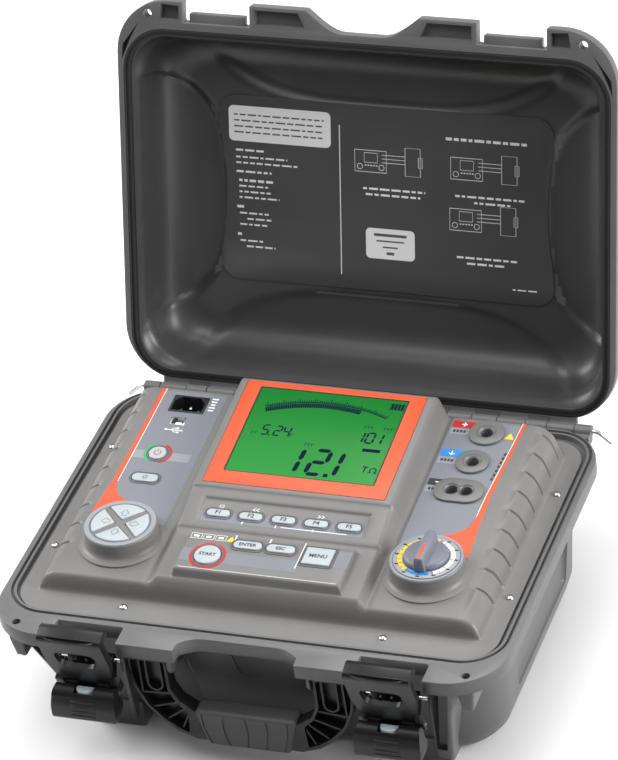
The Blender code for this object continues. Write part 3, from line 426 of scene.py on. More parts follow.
class Print:
    """Thin printed or raised shapes that follow a surface, gathered in one piece."""

    def __init__(self, surface, lift=0.00012, thick=0.0003, down=False):
        self.bm = bmesh.new()
        self.surface = surface
        self.sign = -1.0 if down else 1.0
        self.lift = lift
        self.thick = thick

    def level(self, point, part):
        z = self.surface(point[0], point[1])
        return (point[0], point[1], z + self.sign * (self.lift - part * self.thick))

    def area(self, points):
        top = [self.bm.verts.new(self.level(p, 0)) for p in points]
        low = [self.bm.verts.new(self.level(p, 1)) for p in points]
        count = len(points)
        self.bm.faces.new(top)
        self.bm.faces.new(list(reversed(low)))
        for i in range(count):
            j = (i + 1) % count
            self.bm.faces.new((top[i], low[i], low[j], top[j]))

    def line(self, points, width, closed=False):
        left, right = ribbon(points, width, closed)
        count = len(left) if closed else len(left) - 1
        rails = []
        for side in (left, right):
            rails.append([self.bm.verts.new(self.level(p, 0)) for p in side])
            rails.append([self.bm.verts.new(self.level(p, 1)) for p in side])
        lt, lb, rt, rb = rails
        total = len(left)
        for i in range(count):
            j = (i + 1) % total
            self.bm.faces.new((lt[i], rt[i], rt[j], lt[j]))
            self.bm.faces.new((lb[i], lb[j], rb[j], rb[i]))
            self.bm.faces.new((lt[i], lt[j], lb[j], lb[i]))
            self.bm.faces.new((rt[i], rb[i], rb[j], rt[j]))
        if not closed:
            self.bm.faces.new((lt[0], lb[0], rb[0], rt[0]))
            self.bm.faces.new((lt[-1], rt[-1], rb[-1], lb[-1]))

    def box(self, x, y, half_x, half_y):
        self.area(rect(x - half_x, y - half_y, x + half_x, y + half_y))

    def done(self, name, look, body="case", slot="panel_grey", matrix=None, holes=False):
        made = scratch(name, self.bm)
        if holes:
            pierced(made)
        return shown(made, look, body, matrix=matrix)


def on(which, lift=0.00012, thick=0.0003, proud=0.0):
    """A print on a sloped deck, or on a face that stands proud of it."""
    return Print(lambda x, y: deck(which, y) + proud, lift, thick)


def smoothstep(low, high, value):
    t = min(1.0, max(0.0, (value - low) / (high - low)))
    return t * t * (3.0 - 2.0 * t)


# ------------------------------------------------------------------ lid, drawn closed
OPEN_X, OPEN_FRONT, OPEN_REAR, OPEN_R = 0.1847, -0.1285, 0.136, 0.028
PLATE_LEVEL = 0.049                  # face of the printed plate above the parting plane


def lid_half_outline():
    half = [(0.0, -0.14), (0.015, -0.14)]
    for i in range(1, 9):
        t = i / 8
        half.append((0.015 + 0.029 * t, -0.14 - 0.0165 * t * t * (1.6 - 0.6 * t)))
    half += [(0.0885, -0.1565), (0.0885, -0.14), (0.1415, -0.14), (0.1415, -0.156)]
    half += arc((0.153, -0.114), 0.042, -90, 0, 12)
    half += arc((0.153, 0.101), 0.042, 0, 90, 12)
    return half


def mirror(half):
    """Closed outline from its right half, whose ends lie on the middle line."""
    left = [(-x, y) for x, y in reversed(half) if x > 1e-6]
    return half + left if half[-1][0] > 1e-6 else half[:-1] + [half[-1]] + left


def ring_block(name, margin, low, high, bevel=0.0):
    layer = (OPEN_X + margin, OPEN_FRONT - margin, OPEN_REAR + margin, OPEN_R + margin)
    return stacked(name, [(low, *layer), (high, *layer)], 14, bevel)


def lid_cavity():
    """Inside of the lid: rounded basin with a shallow sunken pocket along each side."""
    profile = [(0.0, -0.001, (1, 0)), (0.0, 0.003, (1, 0)), (0.0012, 0.0062, (1, 0)),
        (0.0026, 0.0085, (1, 0)), (0.003, 0.0115, (1, 0)), (0.0034, 0.015, (1, 0)), (0.0038, 0.019, (1, 0)),
        (0.0042, 0.023, (1, 0))]
    for i in range(15):
        a = radians(90 * i / 14)
        profile.append((0.0316 - 0.027 * cos(a), 0.0265 + 0.027 * sin(a), (cos(a), sin(a))))
    for inset in (0.0345, 0.0375, 0.0405, 0.0435, 0.0465, 0.0495, 0.0525, 0.055, 0.0575, 0.06, 0.063,
            0.068):
        profile.append((inset, 0.0535, (0, 1)))
    rings = []
    for inset, z, _ in profile:
        radius = max(0.03 - 0.3 * inset, 0.012)
        rings.append(outline(0.1841 - inset, -0.128 + inset, 0.1355 - inset, radius, 12, 48))
    travel = 0.0
    sections = []
    for number, (inset, z, outward) in enumerate(profile):
        if number:
            travel += hypot(inset - profile[number - 1][0], z - profile[number - 1][1])
        section = []
        for k, (x, y) in enumerate(rings[number]):
            inner, outer = rings[-1][k], rings[0][k]
            hx, hy = inner[0] - outer[0], inner[1] - outer[1]
            length = hypot(hx, hy)
            hx, hy = hx / length, hy / length
            mask = 0.0
            for along, half, wall in ((x, 0.152, abs(y - 0.00375) - 0.13175),
                    (y - 0.004, 0.098, abs(x) - 0.1841)):
                gap = -wall
                reach = gap + max(0.0, travel - inset)
                value = (abs(along) / half) ** 3.2 + (reach / 0.096) ** 2.4
                mask = max(mask, smoothstep(-0.1, 0.1, 1.0 - value))
            lift = 0.0035 * (1.0 - mask) * smoothstep(0.006, 0.013, z)
            section.append((x + hx * lift * outward[0], y + hy * lift * outward[0],
                RIM + z - lift * outward[1]))
        sections.append(section)
    return loft("lid_cavity", sections)


def build_lid():
    outer = [(0.0, 0.006), (0.0012, 0.014), (0.003, 0.022), (0.0055, 0.0335), (0.0078, 0.0415),
        (0.011, 0.048), (0.015, 0.0528), (0.02, 0.0559), (0.0255, 0.057), (0.06, 0.057)]
    shell = stacked("lid_moulding", [(RIM + z, 0.186 - i, -0.1325 + i, 0.138 - i,
        max(0.036 - 0.25 * i, 0.02)) for i, z in outer], 14)
    flange = prism("lid_flange", mirror(lid_half_outline()), RIM + 0.0005, RIM + 0.01, bevel=0.0009)
    parts = [flange]
    for side in (-1, 1):
        parts.append(block("keeper", (side * LATCH_X - 0.022, -0.1468, RIM + 0.003),
            (side * LATCH_X + 0.022, -0.13, RIM + 0.0098), 0.0007))
        for start, end in ((0.066, 0.085), (0.105, 0.127), (0.144, 0.165)):
            low, high = ends(side, start, end)
            parts.append(block("arm", (low, 0.13, HINGE_Z + 0.0046),
                (high, HINGE_Y + 0.001, HINGE_Z + 0.0086), 0.0006))
            parts.append(block("drop", (low, HINGE_Y - 0.0036, HINGE_Z),
                (high, HINGE_Y + 0.0036, HINGE_Z + 0.0083)))
            parts.append(rod("barrel", 0.004, low, high, (HINGE_Y, HINGE_Z)))
        low, high = ends(side, 0.048, 0.1645)
        parts.append(block("web", (low, 0.13, HINGE_Z + 0.0053), (high, HINGE_Y + 0.0008, HINGE_Z + 0.008)))
    boolean(shell, parts, "UNION")
    cuts = [lid_cavity(), ring_block("channel", 0.0055, RIM - 0.001, RIM + 0.003)]
    cells = []
    for side in (-1, 1):
        for top, corners in ((0.0082, ((0.05, -0.1535), (0.0845, -0.1535), (0.0845, -0.1425),
                (0.0445, -0.1425))), (0.008, ((0.1445, -0.1525), (0.158, -0.1535), (0.16, -0.142),
                (0.1445, -0.142))), (0.008, ((0.1765, -0.1385), (0.1905, -0.12), (0.1915, -0.108),
                (0.183, -0.127)))):
            cells.append(prism("cell", [(side * x, y) for x, y in corners], RIM - 0.001, RIM + top))
        cells.append(rod("hole", 0.0035, RIM - 0.002, RIM + 0.012, (side * PADLOCK[0], PADLOCK[1]), "Z"))
        cells.append(rod("bore", BORE_R, *ends(side, 0.055, 0.185), (HINGE_Y, HINGE_Z), sides=16))
    for margin in (0.0, 0.02, 0.04):
        rings = []
        for inset, low, high in ((0.0, 0.0562, 0.06), (0.0015, 0.0555, 0.061)):
            layer = (0.15 - margin - inset, -0.1 + margin + inset, 0.103 - margin - inset, 0.018 - inset)
            rings.append(stacked("groove", [(RIM + low, *layer), (RIM + high, *layer)], 8))
        cells.append(boolean(rings[0], rings[1:]))
    cuts.append(merged("lid_cells", cells))
    boolean(shell, cuts)
    shown(shell, CASE, "lid", ["lid_shell"], matrix=LID_TURN)
    # faces that look into the lid's basin take the darker copy of the case plastic, which paints the shade
    # inside the lid
    shell.data.materials.append(LID_INNER_SHADE)
    middle = LID_TURN @ Vector((0.0, 0.004, RIM + 0.01))
    closed = LID_TURN.inverted()
    for face in shell.data.polygons:
        spot = closed @ face.center
        in_painted_shade = abs(spot.x) < 0.1843 and -0.1283 < spot.y < 0.1358 and spot.z > RIM + 0.0005
        if in_painted_shade and face.normal.dot(middle - face.center) > 0.0:
            face.material_index = 1

    seal = ring_block("lid_seal", 0.0052, RIM + 0.0004, RIM + 0.0027, bevel=0.0003)
    boolean(seal, [ring_block("seal_in", 0.0, RIM - 0.002, RIM + 0.005)])
    lip = ring_block("seal_groove", 0.0038, RIM - 0.001, RIM + 0.0012)
    boolean(lip, [ring_block("seal_groove_in", 0.0016, RIM - 0.002, RIM + 0.005)])
    boolean(seal, [lip])
    shown(seal, GASKET, "lid", ["lid_gasket"], matrix=LID_TURN)

    # printed plate: straight top and bottom, sides drawn in
    half = [(0.0, -0.0725), (0.108, -0.0735)]
    half += arc((0.118, -0.0585), 0.015, -80, -10, 8)
    half += [(0.1335 - 0.0058 * sin(pi * (i + 1) / 14), -0.055 + 0.11 * (i + 1) / 14) for i in range(13)]
    half += arc((0.118, 0.0585), 0.015, 10, 80, 8)
    half += [(0.108, 0.0735), (0.0, 0.0725)]
    plate = prism("lid_plate", mirror(half), RIM + PLATE_LEVEL, RIM + 0.04985, bevel=0.0002)
    shown(plate, PLAQUE, "lid", ["lid_info_plate"], matrix=LID_TURN)

    # lines of small print as plain bars: start, level, length and height of each line
    white = Print(lambda x, y: RIM + PLATE_LEVEL, 0.00008, 0.0002, down=True)
    rng = np.random.default_rng(7)
    for x0, y, length, height in ((-0.12, -0.03, 0.023, 0.0016), (-0.12, -0.0245, 0.042, 0.0013),
            (-0.12, -0.02, 0.05, 0.0013), (-0.12, -0.013, 0.029, 0.0016), (-0.118, -0.006, 0.028, 0.002),
            (-0.118, -0.0015, 0.024, 0.0013), (-0.118, 0.003, 0.026, 0.0013),
            (-0.118, 0.0075, 0.033, 0.0013), (-0.12, 0.015, 0.006, 0.002), (-0.118, 0.02, 0.024, 0.0013),
            (-0.112, 0.0245, 0.02, 0.0013), (-0.118, 0.029, 0.023, 0.0013), (-0.12, 0.037, 0.006, 0.002),
            (-0.118, 0.042, 0.019, 0.0013), (-0.113, 0.0465, 0.024, 0.0013), (0.048, -0.052, 0.064, 0.0022),
            (-0.018, -0.008, 0.05, 0.0016), (-0.016, -0.0035, 0.044, 0.0016),
            (0.055, -0.008, 0.056, 0.0016), (0.07, -0.0035, 0.029, 0.0016), (0.056, 0.04, 0.048, 0.0016),
            (0.064, 0.0445, 0.03, 0.0016), (0.1, 0.062, 0.02, 0.001)):
        x = x0
        while x < x0 + length:
            word = min(0.003 + 0.0055 * rng.random(), x0 + length - x)
            if word > 0.0012:
                white.box(x + word / 2, y, word / 2 - 0.0003, height / 2)
            x += word + 0.001
    white.area([(x - 0.084, y - 0.051) for x, y in outline(0.041, -0.014, 0.014, 0.004, 5)])
    white.area([(x + 0.0035, y + 0.035) for x, y in outline(0.0195, -0.012, 0.012, 0.0035, 5)])
    white.line([(-0.036, -0.056), (-0.036, 0.062)], 0.0007)
    for ox, oy in ((-0.024, -0.038), (0.052, -0.038), (0.051, 0.002)):
        white.line(rect(ox, oy, ox + 0.025, oy + 0.017), 0.0005, True)
        white.line(rect(ox + 0.0075, oy + 0.002, ox + 0.018, oy + 0.0095), 0.0004, True)
        for x in (0.004, 0.0212):
            white.line(circle(0.0021, 16, (ox + x, oy + 0.013)), 0.0004, True)
        for n in range(5):
            white.box(ox + 0.0085 + 0.0022 * n, oy + 0.0118, 0.0007, 0.0004)
        for n in range(3):
            white.line([(ox + 0.0215, oy + 0.003 + 0.003 * n), (ox + 0.04, oy + 0.003 + 0.003 * n)], 0.0004)
        white.line(rect(ox + 0.04, oy - 0.004, ox + 0.052, oy + 0.018), 0.0004, True)
        white.line(rect(ox + 0.0505, oy + 0.003, ox + 0.0535, oy + 0.011), 0.0004, True)
    white.done("lid_plate_print", WHITE, "lid", "plate_dark", LID_TURN)
    grey = Print(lambda x, y: RIM + PLATE_LEVEL, 0.00012, 0.0002, down=True)
    for n in range(4):
        x = -0.121
        while x < -0.049:
            word = min(0.003 + 0.0055 * rng.random(), -0.048 - x)
            grey.box(x + word / 2, -0.058 + 0.0046 * n, word / 2 - 0.0003, 0.0006)
            x += word + 0.001
    for n, (length, height) in enumerate(((0.026, 0.0022), (0.022, 0.0012), (0.012, 0.0012),
            (0.006, 0.0022))):
        grey.box(0.0035, 0.028 + 0.0048 * n, length / 2, height / 2)
    grey.done("lid_plate_ink", KEY_DARK, "lid", "plate_dark", LID_TURN)


# ------------------------------------------------------------------ base
def base_half_outline():
    half = [(0.0, -0.14), (0.027, -0.14)]
    half += [(0.027 + 0.018 * (i / 8) ** 0.75, -0.14 - 0.008 * (i / 8) ** 1.5) for i in range(1, 9)]
    half += [(0.0455, -0.1563), (0.0895, -0.1563), (0.0895, -0.1375), (0.1403, -0.1375), (0.1403, -0.1563)]
    half += arc((0.1513, -0.1143), 0.042, -90, 0, 12)
    half += arc((0.1513, 0.101), 0.042, 0, 90, 12)
    return half


def build_base():
    shell = stacked("base_moulding", [(0.0, 0.148, -0.086, 0.104, 0.03),
        (0.0008, 0.1505, -0.0885, 0.1065, 0.032), (0.0028, 0.157, -0.095, 0.112, 0.035),
        (0.007, 0.164, -0.102, 0.118, 0.038), (0.013, 0.1685, -0.107, 0.122, 0.041),
        (0.025, 0.1725, -0.112, 0.126, 0.044), (0.064, 0.1758, -0.118, 0.129, 0.046),
        (RIM - 0.011, 0.179, -0.1245, 0.132, 0.048)], 14)
    # drawn-in middles of the side and rear walls
    cuts = [tapered("side_panel", side, ((0.17, -0.052), (0.19, -0.057), (0.19, 0.075), (0.17, 0.07)), 0.03,
        ((0.1738, -0.06), (0.19, -0.066), (0.19, 0.084), (0.1738, 0.078)), 0.0985,
        0.003) for side in (-1, 1)]
    cuts.append(tapered("rear_panel", 1, ((-0.11, 0.1236), (0.11, 0.1236), (0.115, 0.15), (-0.115, 0.15)),
        0.03, ((-0.12, 0.1272), (0.12, 0.1272), (0.125, 0.15), (-0.125, 0.15)), 0.0985, 0.003))
    boolean(shell, [merged("panels", cuts)])
    parts = [prism("base_flange", mirror(base_half_outline()), RIM - 0.012, RIM, bevel=0.001)]
    under = RIM - 0.0115
    parts.append(tapered("handle_bay", 1, rect(-0.044, -0.1125, 0.044, -0.1), 0.012,
        rect(-0.052, -0.133, 0.052, -0.12), under, 0.003))
    for side in (-1, 1):
        parts.append(block("foot", (side * 0.118 - 0.0205, -0.1135, 0.0),
            (side * 0.118 + 0.0205, -0.08, 0.024), 0.002))
        parts.append(tapered("inner_web", side, rect(0.1035, -0.113, 0.107, -0.095), 0.003,
            rect(0.0862, -0.1545, 0.089, -0.118), under, 0.0006, 2))
        parts.append(tapered("outer_rib", side, rect(0.127, -0.114, 0.14, -0.095), 0.006,
            rect(0.1412, -0.154, 0.16, -0.118), under, 0.0025))
        parts.append(tapered("padlock_boss", side, rect(0.165, -0.148, 0.173, -0.12), RIM - 0.03,
            ((0.163, -0.152), (0.176, -0.15), (0.176, -0.118), (0.163, -0.118)), RIM - 0.011, 0.002))
        for start, end in ((0.0856, 0.1044), (0.1276, 0.1434), (0.1656, 0.178)):
            low, high = ends(side, start, end)
            parts.append(block("arm", (low, 0.139, HINGE_Z - 0.008), (high, HINGE_Y, HINGE_Z)))
            parts.append(rod("barrel", 0.0045, low, high, (HINGE_Y, HINGE_Z)))
        for x in (0.0515, 0.0868):
            low, high = ends(side, x, x + 0.0025)
            axis_y, axis_z = -0.145, RIM - 0.0215
            lug = [(-0.118, under), (-0.152, under), (-0.152, axis_z)]
            lug += arc((axis_y, axis_z), 0.007, 180, 270, 8) + [(-0.118, axis_z - 0.009)]
            parts.append(prism("lug", lug, low, high, "YZ", 0.0004))
    for x in (-0.066, -0.022, 0.022, 0.066):
        parts.append(block("rear_rib", (x - 0.0012, 0.12, 0.034), (x + 0.0012, 0.14, under), 0.0005))
    boolean(shell, parts, "UNION")

    floor = 0.0035
    cavity = stacked("base_cavity", [(floor, 0.1445, -0.0825, 0.1005, 0.03),
        (floor + 0.007, 0.159, -0.0985, 0.113, 0.038), (floor + 0.025, 0.166, -0.1075, 0.119, 0.042),
        (0.099, 0.17, -0.1165, 0.1232, 0.043), (RIM - 0.012, 0.1755, -0.121, 0.1285, 0.0445),
        (RIM - 0.0035, 0.1755, -0.1212, 0.1285, 0.0445)], 10)
    seat = ring_block("base_seat", 0.0, RIM - 0.0045, RIM + 0.002)
    groove = ring_block("base_groove", 0.0042, RIM - 0.003, RIM + 0.002)
    boolean(groove, [ring_block("groove_island", 0.0018, RIM - 0.004, RIM + 0.003)])
    cells = []
    for side in (-1, 1):
        cells.append(rod("bore", BORE_R, *ends(side, 0.055, 0.185), (HINGE_Y, HINGE_Z), sides=16))
        cells.append(rod("padlock", 0.0032, RIM - 0.034, RIM + 0.002, (side * PADLOCK[0], PADLOCK[1]), "Z"))
        cells.append(tapered("rib_hollow", side, rect(0.131, -0.124, 0.1385, -0.1155), 0.02,
            rect(0.144, -0.158, 0.1572, -0.135), RIM - 0.0135, 0.0012, 2))
        middle = side * LATCH_X
        cells.append(rod("latch_bore", BORE_R, middle - 0.0262, middle + 0.0262, LATCH_AXIS, sides=16))
        cells.append(rod("handle_bore", BORE_R, *ends(side, 0.0525, 0.0883), HANDLE_AXIS, sides=16))
    badge = [(-0.012, -0.019), (0.012, -0.019), (0.011, -0.033)]
    badge += [(0.011 * cos(radians(a)),
        -0.033 - 0.012 * sin(radians(a))) for a in range(15, 180, 15)] + [(-0.011, -0.033)]
    shield = loft("badge", [[(x, y, RIM + z) for x, z in badge] for y in (-0.1255, -0.14)])
    # the recess follows the sloping front of the handle bay
    lean = 0.0205 / 0.0915
    for vertex in shield.data.vertices:
        surface = -0.133 + (under - vertex.co.z) * lean
        vertex.co.y = surface + (0.0012 if vertex.co.y > -0.13 else -0.01)
    cells.append(shield)
    boolean(shell, [cavity, seat, groove, merged("base_cells", cells)])
    shown(shell, CASE, "case", ["base_shell"])

    for side, word in ((-1, "left"), (1, "right")):
        path = [(0.0565, 0.0), (0.12, 0.0), (0.179, 0.0), (0.1815, -0.0003), (0.1835, -0.0012),
            (0.185, -0.0024), (0.1925, -0.0093)]
        curve = bpy.data.curves.new("hinge_rod_" + word, "CURVE")
        curve.dimensions = "3D"
        curve.bevel_depth = PIN_R
        curve.bevel_resolution = 5
        curve.use_fill_caps = True
        line = curve.splines.new("POLY")
        line.points.add(len(path) - 1)
        for point, (x, drop) in zip(line.points, path):
            point.co = (side * x, HINGE_Y, HINGE_Z + drop, 1.0)
        shown(meshed("hinge_rod_%s_piece" % word, curve), STEEL, "case", ["hinge_pin_" + word])


# ------------------------------------------------------------------ control panel
def softened(points, reach):
    """Replaces each inner corner of a piecewise line by a short curve; the first value is the position."""
    made = [points[0]]
    for before, here, after in zip(points, points[1:], points[2:]):
        d0 = min(reach, 0.48 * (here[0] - before[0]))
        d1 = min(reach, 0.48 * (after[0] - here[0]))
        start = [h + (b - h) * d0 / (here[0] - before[0]) for h, b in zip(here, before)]
        end = [h + (a - h) * d1 / (after[0] - here[0]) for h, a in zip(here, after)]
        for t in (0.0, 0.3, 0.7, 1.0):
            made.append([(1 - t) ** 2 * s + 2 * t * (1 - t) * h + t * t * e for s, h,
                e in zip(start, here, end)])
    made.append(points[-1])
    unique = [made[0]]
    for item in made[1:]:
        if item[0] - unique[-1][0] > 1e-6:
            unique.append(item)
    return unique


FLAT = RIM - 0.0015
SCALLOPS = [0.099 - 0.0209 * i for i in range(9)]     # finger grooves along both sides
SCALLOP_HALF = 0.0012


def panel_rows():
    rows = [(-0.133, 0, 0, 0), (-0.1052, 0, 0, 0), (-0.1036, 0.0088, 0.0095, 0.0095),
        (-0.1012, 0.0133, 0.015, 0.015), (-0.0985, 0.0135, 0.0184, 0.0184),
        (-0.0972, 0.0136, 0.0186, 0.019), (-0.0958, 0.0137, 0.0187, 0.0259),
        (-0.0562, 0.0167, 0.0226, 0.028), (-0.0546, 0.0168, 0.0228, 0.0229),
        (-0.0482, 0.0173, 0.0235, 0.0235), (-0.0466, 0.0174, 0.0257, 0.0257),
        (-0.0422, 0.0177, 0.0268, 0.0268), (-0.0202, 0.0194, 0.0319, 0.0297),
        (-0.019, 0.0195, 0.0323, 0.0323), (-0.0126, 0.02, 0.034, 0.034), (-0.011, 0.0201, 0.0361, 0.0361),
        (0.1022, 0.0286, 0.0488, 0.0488), (0.108, 0.0288, 0.045, 0.045), (0.1125, 0, 0, 0),
        (0.133, 0, 0, 0)]
    table = [[y] + [(RIM + h if h else FLAT) for h in rest] for y, *rest in rows]
    return softened(table, 0.0016)


def panel_columns():
    """x, then the weights of deck, centre and inner field."""
    half = [(0.0, 0, 0, 1), (0.0632, 0, 0, 1), (0.0646, 0, 1, 0), (0.0766, 0, 1, 0), (0.0828, 0.93, 0.0, 0),
        (0.0868, 1, 0, 0), (0.15, 1, 0, 0), (0.1568, 0.95, 0, 0), (0.1625, 0.76, 0, 0), (0.1662, 0.4, 0, 0),
        (0.168, 0, 0, 0), (0.187, 0, 0, 0)]
    fine = softened(half, 0.0016)
    out = [fine[0]]
    for item in fine[1:]:
        gap = item[0] - out[-1][0]
        pieces = int(gap / 0.012) + 1
        last = out[-1]
        for i in range(1, pieces + 1):
            out.append([l + (a - l) * i / pieces for l, a in zip(last, item)])
    left = [[-c[0]] + list(c[1:]) for c in reversed(out[1:])]
    return left + out


def build_panel():
    rows = panel_rows()
    marks = sorted(y + shift for y in SCALLOPS for shift in (-SCALLOP_HALF, -0.0005, 0.0005, SCALLOP_HALF))
    extra = []
    for before, after in zip(rows, rows[1:]):
        extra.append(before)
        for y in marks:
            if before[0] + 0.0004 < y < after[0] - 0.0004:
                t = (y - before[0]) / (after[0] - before[0])
                extra.append([b + (a - b) * t for b, a in zip(before, after)])
    rows = extra + [rows[-1]]
    columns = panel_columns()
    bm = bmesh.new()
    grid = []
    for y, side, centre, inner in rows:
        line = []
        dent = max(0.0, max(1.0 - abs(y - mark) / SCALLOP_HALF for mark in SCALLOPS))
        for x, wd, wc, wi in columns:
            z = FLAT + wd * (side - FLAT) + wc * (centre - FLAT) + wi * (inner - FLAT)
            share = smoothstep(0.1535, 0.1575, abs(x)) * (1.0 - smoothstep(0.1668, 0.1676, abs(x)))
            pull = 0.0017 * dent * share
            line.append(bm.verts.new((x - copysign(pull, x), y, z - pull)))
        grid.append(line)
    for near, far in zip(grid, grid[1:]):
        for i in range(len(columns) - 1):
            bm.faces.new((near[i], near[i + 1], far[i + 1], far[i]))
    panel = scratch("panel_moulding", bm)
    if panel.data.polygons[0].normal.z < 0:
        panel.data.flip_normals()
    wall = panel.modifiers.new("wall", "SOLIDIFY")
    wall.thickness = 0.0024
    wall.offset = -1.0
    applied(panel)
    edge = (0.1815, -0.1278, 0.13, 0.0255)
    outer = stacked("panel_outline", [(RIM - 0.01, *edge), (RIM + 0.06, *edge)], 14)
    boolean(panel, [outer], "INTERSECT")
    for side in (-1, 1):
        centre = (side * PED_X, PED_Y)
        pedestal = turned("pedestal", [(0.0, 0.0), (0.0258, 0.0), (0.0266, -0.0003), (0.0271, -0.001),
            (0.0272, -0.0018), (0.0272, -0.0085), (0.0277, -0.0108), (0.029, -0.0124), (0.0308, -0.0133),
            (0.033, -0.014), (0.033, -0.0165), (0.0, -0.0165)], centre, 64)
        pedestal.data.transform(Matrix.Translation((0, 0, PED_TOP)))
        hollow = rod("hollow", 0.0238, PED_TOP - 0.03, PED_TOP - 0.0024, centre, "Z", 48)
        boolean(panel, [pedestal], "UNION")
        boolean(panel, [hollow])
    holes = [raised("hole", grown(points, 0.0005), -0.012, 0.012, tilted(which, x, y)) for _, points, x, y,
        which, _ in KEYS]
    holes += [raised("hole", points, -0.012, 0.012, tilted(SIDE, x, y)) for points, x, y in SOCKET_HOLES]
    for x, y in SCREWS:
        holes.append(rod("hole", 0.0019, RIM - 0.0115, RIM + 0.003, (x, y), "Z", 16))
    holes.append(rod("shaft", 0.0042, PED_TOP - 0.02, PED_TOP + 0.01, (PED_X, PED_Y), "Z", 24))
    holes.append(raised("pocket", outline(0.0704, -0.0551, 0.0551, 0.001, 3), -0.0011, 0.01,
        tilted(SCREEN, 0.0, SCREEN_Y)))
    boolean(panel, [merged("panel_holes", holes)])
    shown(panel, PANEL, "case", ["panel_fascia"], angle=38.0)


def grown(points, margin):
    """Outline made larger all round, about the middle of its box."""
    xs = [p[0] for p in points]
    ys = [p[1] for p in points]
    cx, cy = sum(xs) / len(xs), sum(ys) / len(ys)
    hx, hy = (max(xs) - min(xs)) / 2, (max(ys) - min(ys)) / 2
    return [(cx + (x - cx) * (1 + margin / hx), cy + (y - cy) * (1 + margin / hy)) for x, y in points]


SCREEN_Y = 0.0467


def sector(direction, inner, outer, half_gap):
    spread = pi / 4 - asin(half_gap / outer)
    points = [(inner, 0.0)] + arc((0.0, 0.0), outer, -degrees(spread), degrees(spread), 18)
    turn = Matrix.Rotation(direction, 2)
    return [tuple(turn @ Vector(point)) for point in points]


FUNCTION_X = [(i - 2) * 0.0251 + 0.0004 for i in range(5)]
START_X, START_Y = -0.0418, -0.08
# name, outline, place, deck and how far the cap stands proud
KEYS = [("key_power", circle(0.0068), POWER_X, POWER_Y, SIDE, 0.0014),
    ("key_backlight", stadium(0.0102, 0.0042), LAMP_X, LAMP_Y, SIDE, 0.0014),
    ("key_start", circle(0.0097), START_X, START_Y, PLATE, 0.0018), ("key_enter", stadium(0.0108, 0.004),
    -0.016, -0.0652, PLATE, 0.0014), ("key_escape", stadium(0.0108, 0.004), 0.0092, -0.0652, PLATE, 0.0014),
    ("key_menu", outline(0.0106, -0.0088, 0.0088, 0.0008, 3), 0.0388, -0.0687, PLATE, 0.0014)]
KEYS += [("key_function_%d" % (i + 1), stadium(0.0088, 0.0034), x, -0.033, RECESS, 0.0014) for i,
    x in enumerate(FUNCTION_X)]
KEYS += [("key_arrow_" + word, sector(i * pi / 2, 0.0042, 0.0215, 0.0022), -PED_X, PED_Y, FLAT_TOP,
    0.001) for i, word in enumerate(DIRECTIONS)]
SCREWS = [(-0.0985, -0.114), (0.0985, -0.114), (-0.1745, -0.0545), (0.1745, -0.0545), (-0.1745, 0.067),
    (0.1745, 0.067)]
# name, place, outline and the bores along x
SOCKETS = [("socket_positive", 0.1165, 0.092, circle(0.0134, 48), (0.0,)),
    ("socket_guard", 0.115, 0.0596, circle(0.0126, 48), (0.0,)), ("socket_negative", 0.1141, 0.0277,
    stadium(0.019, 0.0124, 20), (-0.0055, 0.0055))]
SOCKET_HOLES = [(grown(points, -0.0019), x, y) for _, x, y, points, _ in SOCKETS]
SOCKET_HOLES += [(outline(0.0145, -0.0097, 0.0097, 0.001, 3), INLET_X, INLET_Y),
    (outline(0.0064, -0.0047, 0.0047, 0.001, 3), DATA_X, DATA_Y)]


def raised(name, points, low, high, place, bevel=0.0, segments=2, limit=35.0):
    made = prism(name, points, low, high, bevel=bevel, segments=segments, limit=limit)
    made.data.transform(place)
    return made


def pierced(made):
    """Cuts the holes of keys, sockets and inlets out of a print that covers them."""
    wanted = [(grown(points, 0.0006), x, y, which) for name, points, x, y, which,
        _ in KEYS if "arrow" not in name]
    wanted += [(grown(points, -0.002), x, y, SIDE) for _, x, y, points, _ in SOCKETS]
    wanted.append((outline(0.0139, -0.0091, 0.0091, 0.0008, 3), INLET_X, INLET_Y, SIDE))
    wanted.append((outline(0.0059, -0.0042, 0.0042, 0.0008, 3), DATA_X, DATA_Y, SIDE))
    tools = [raised("hole", points, -0.004, 0.004, tilted(which, x, y)) for points, x, y, which in wanted]
    return boolean(made, [merged("holes", tools)])


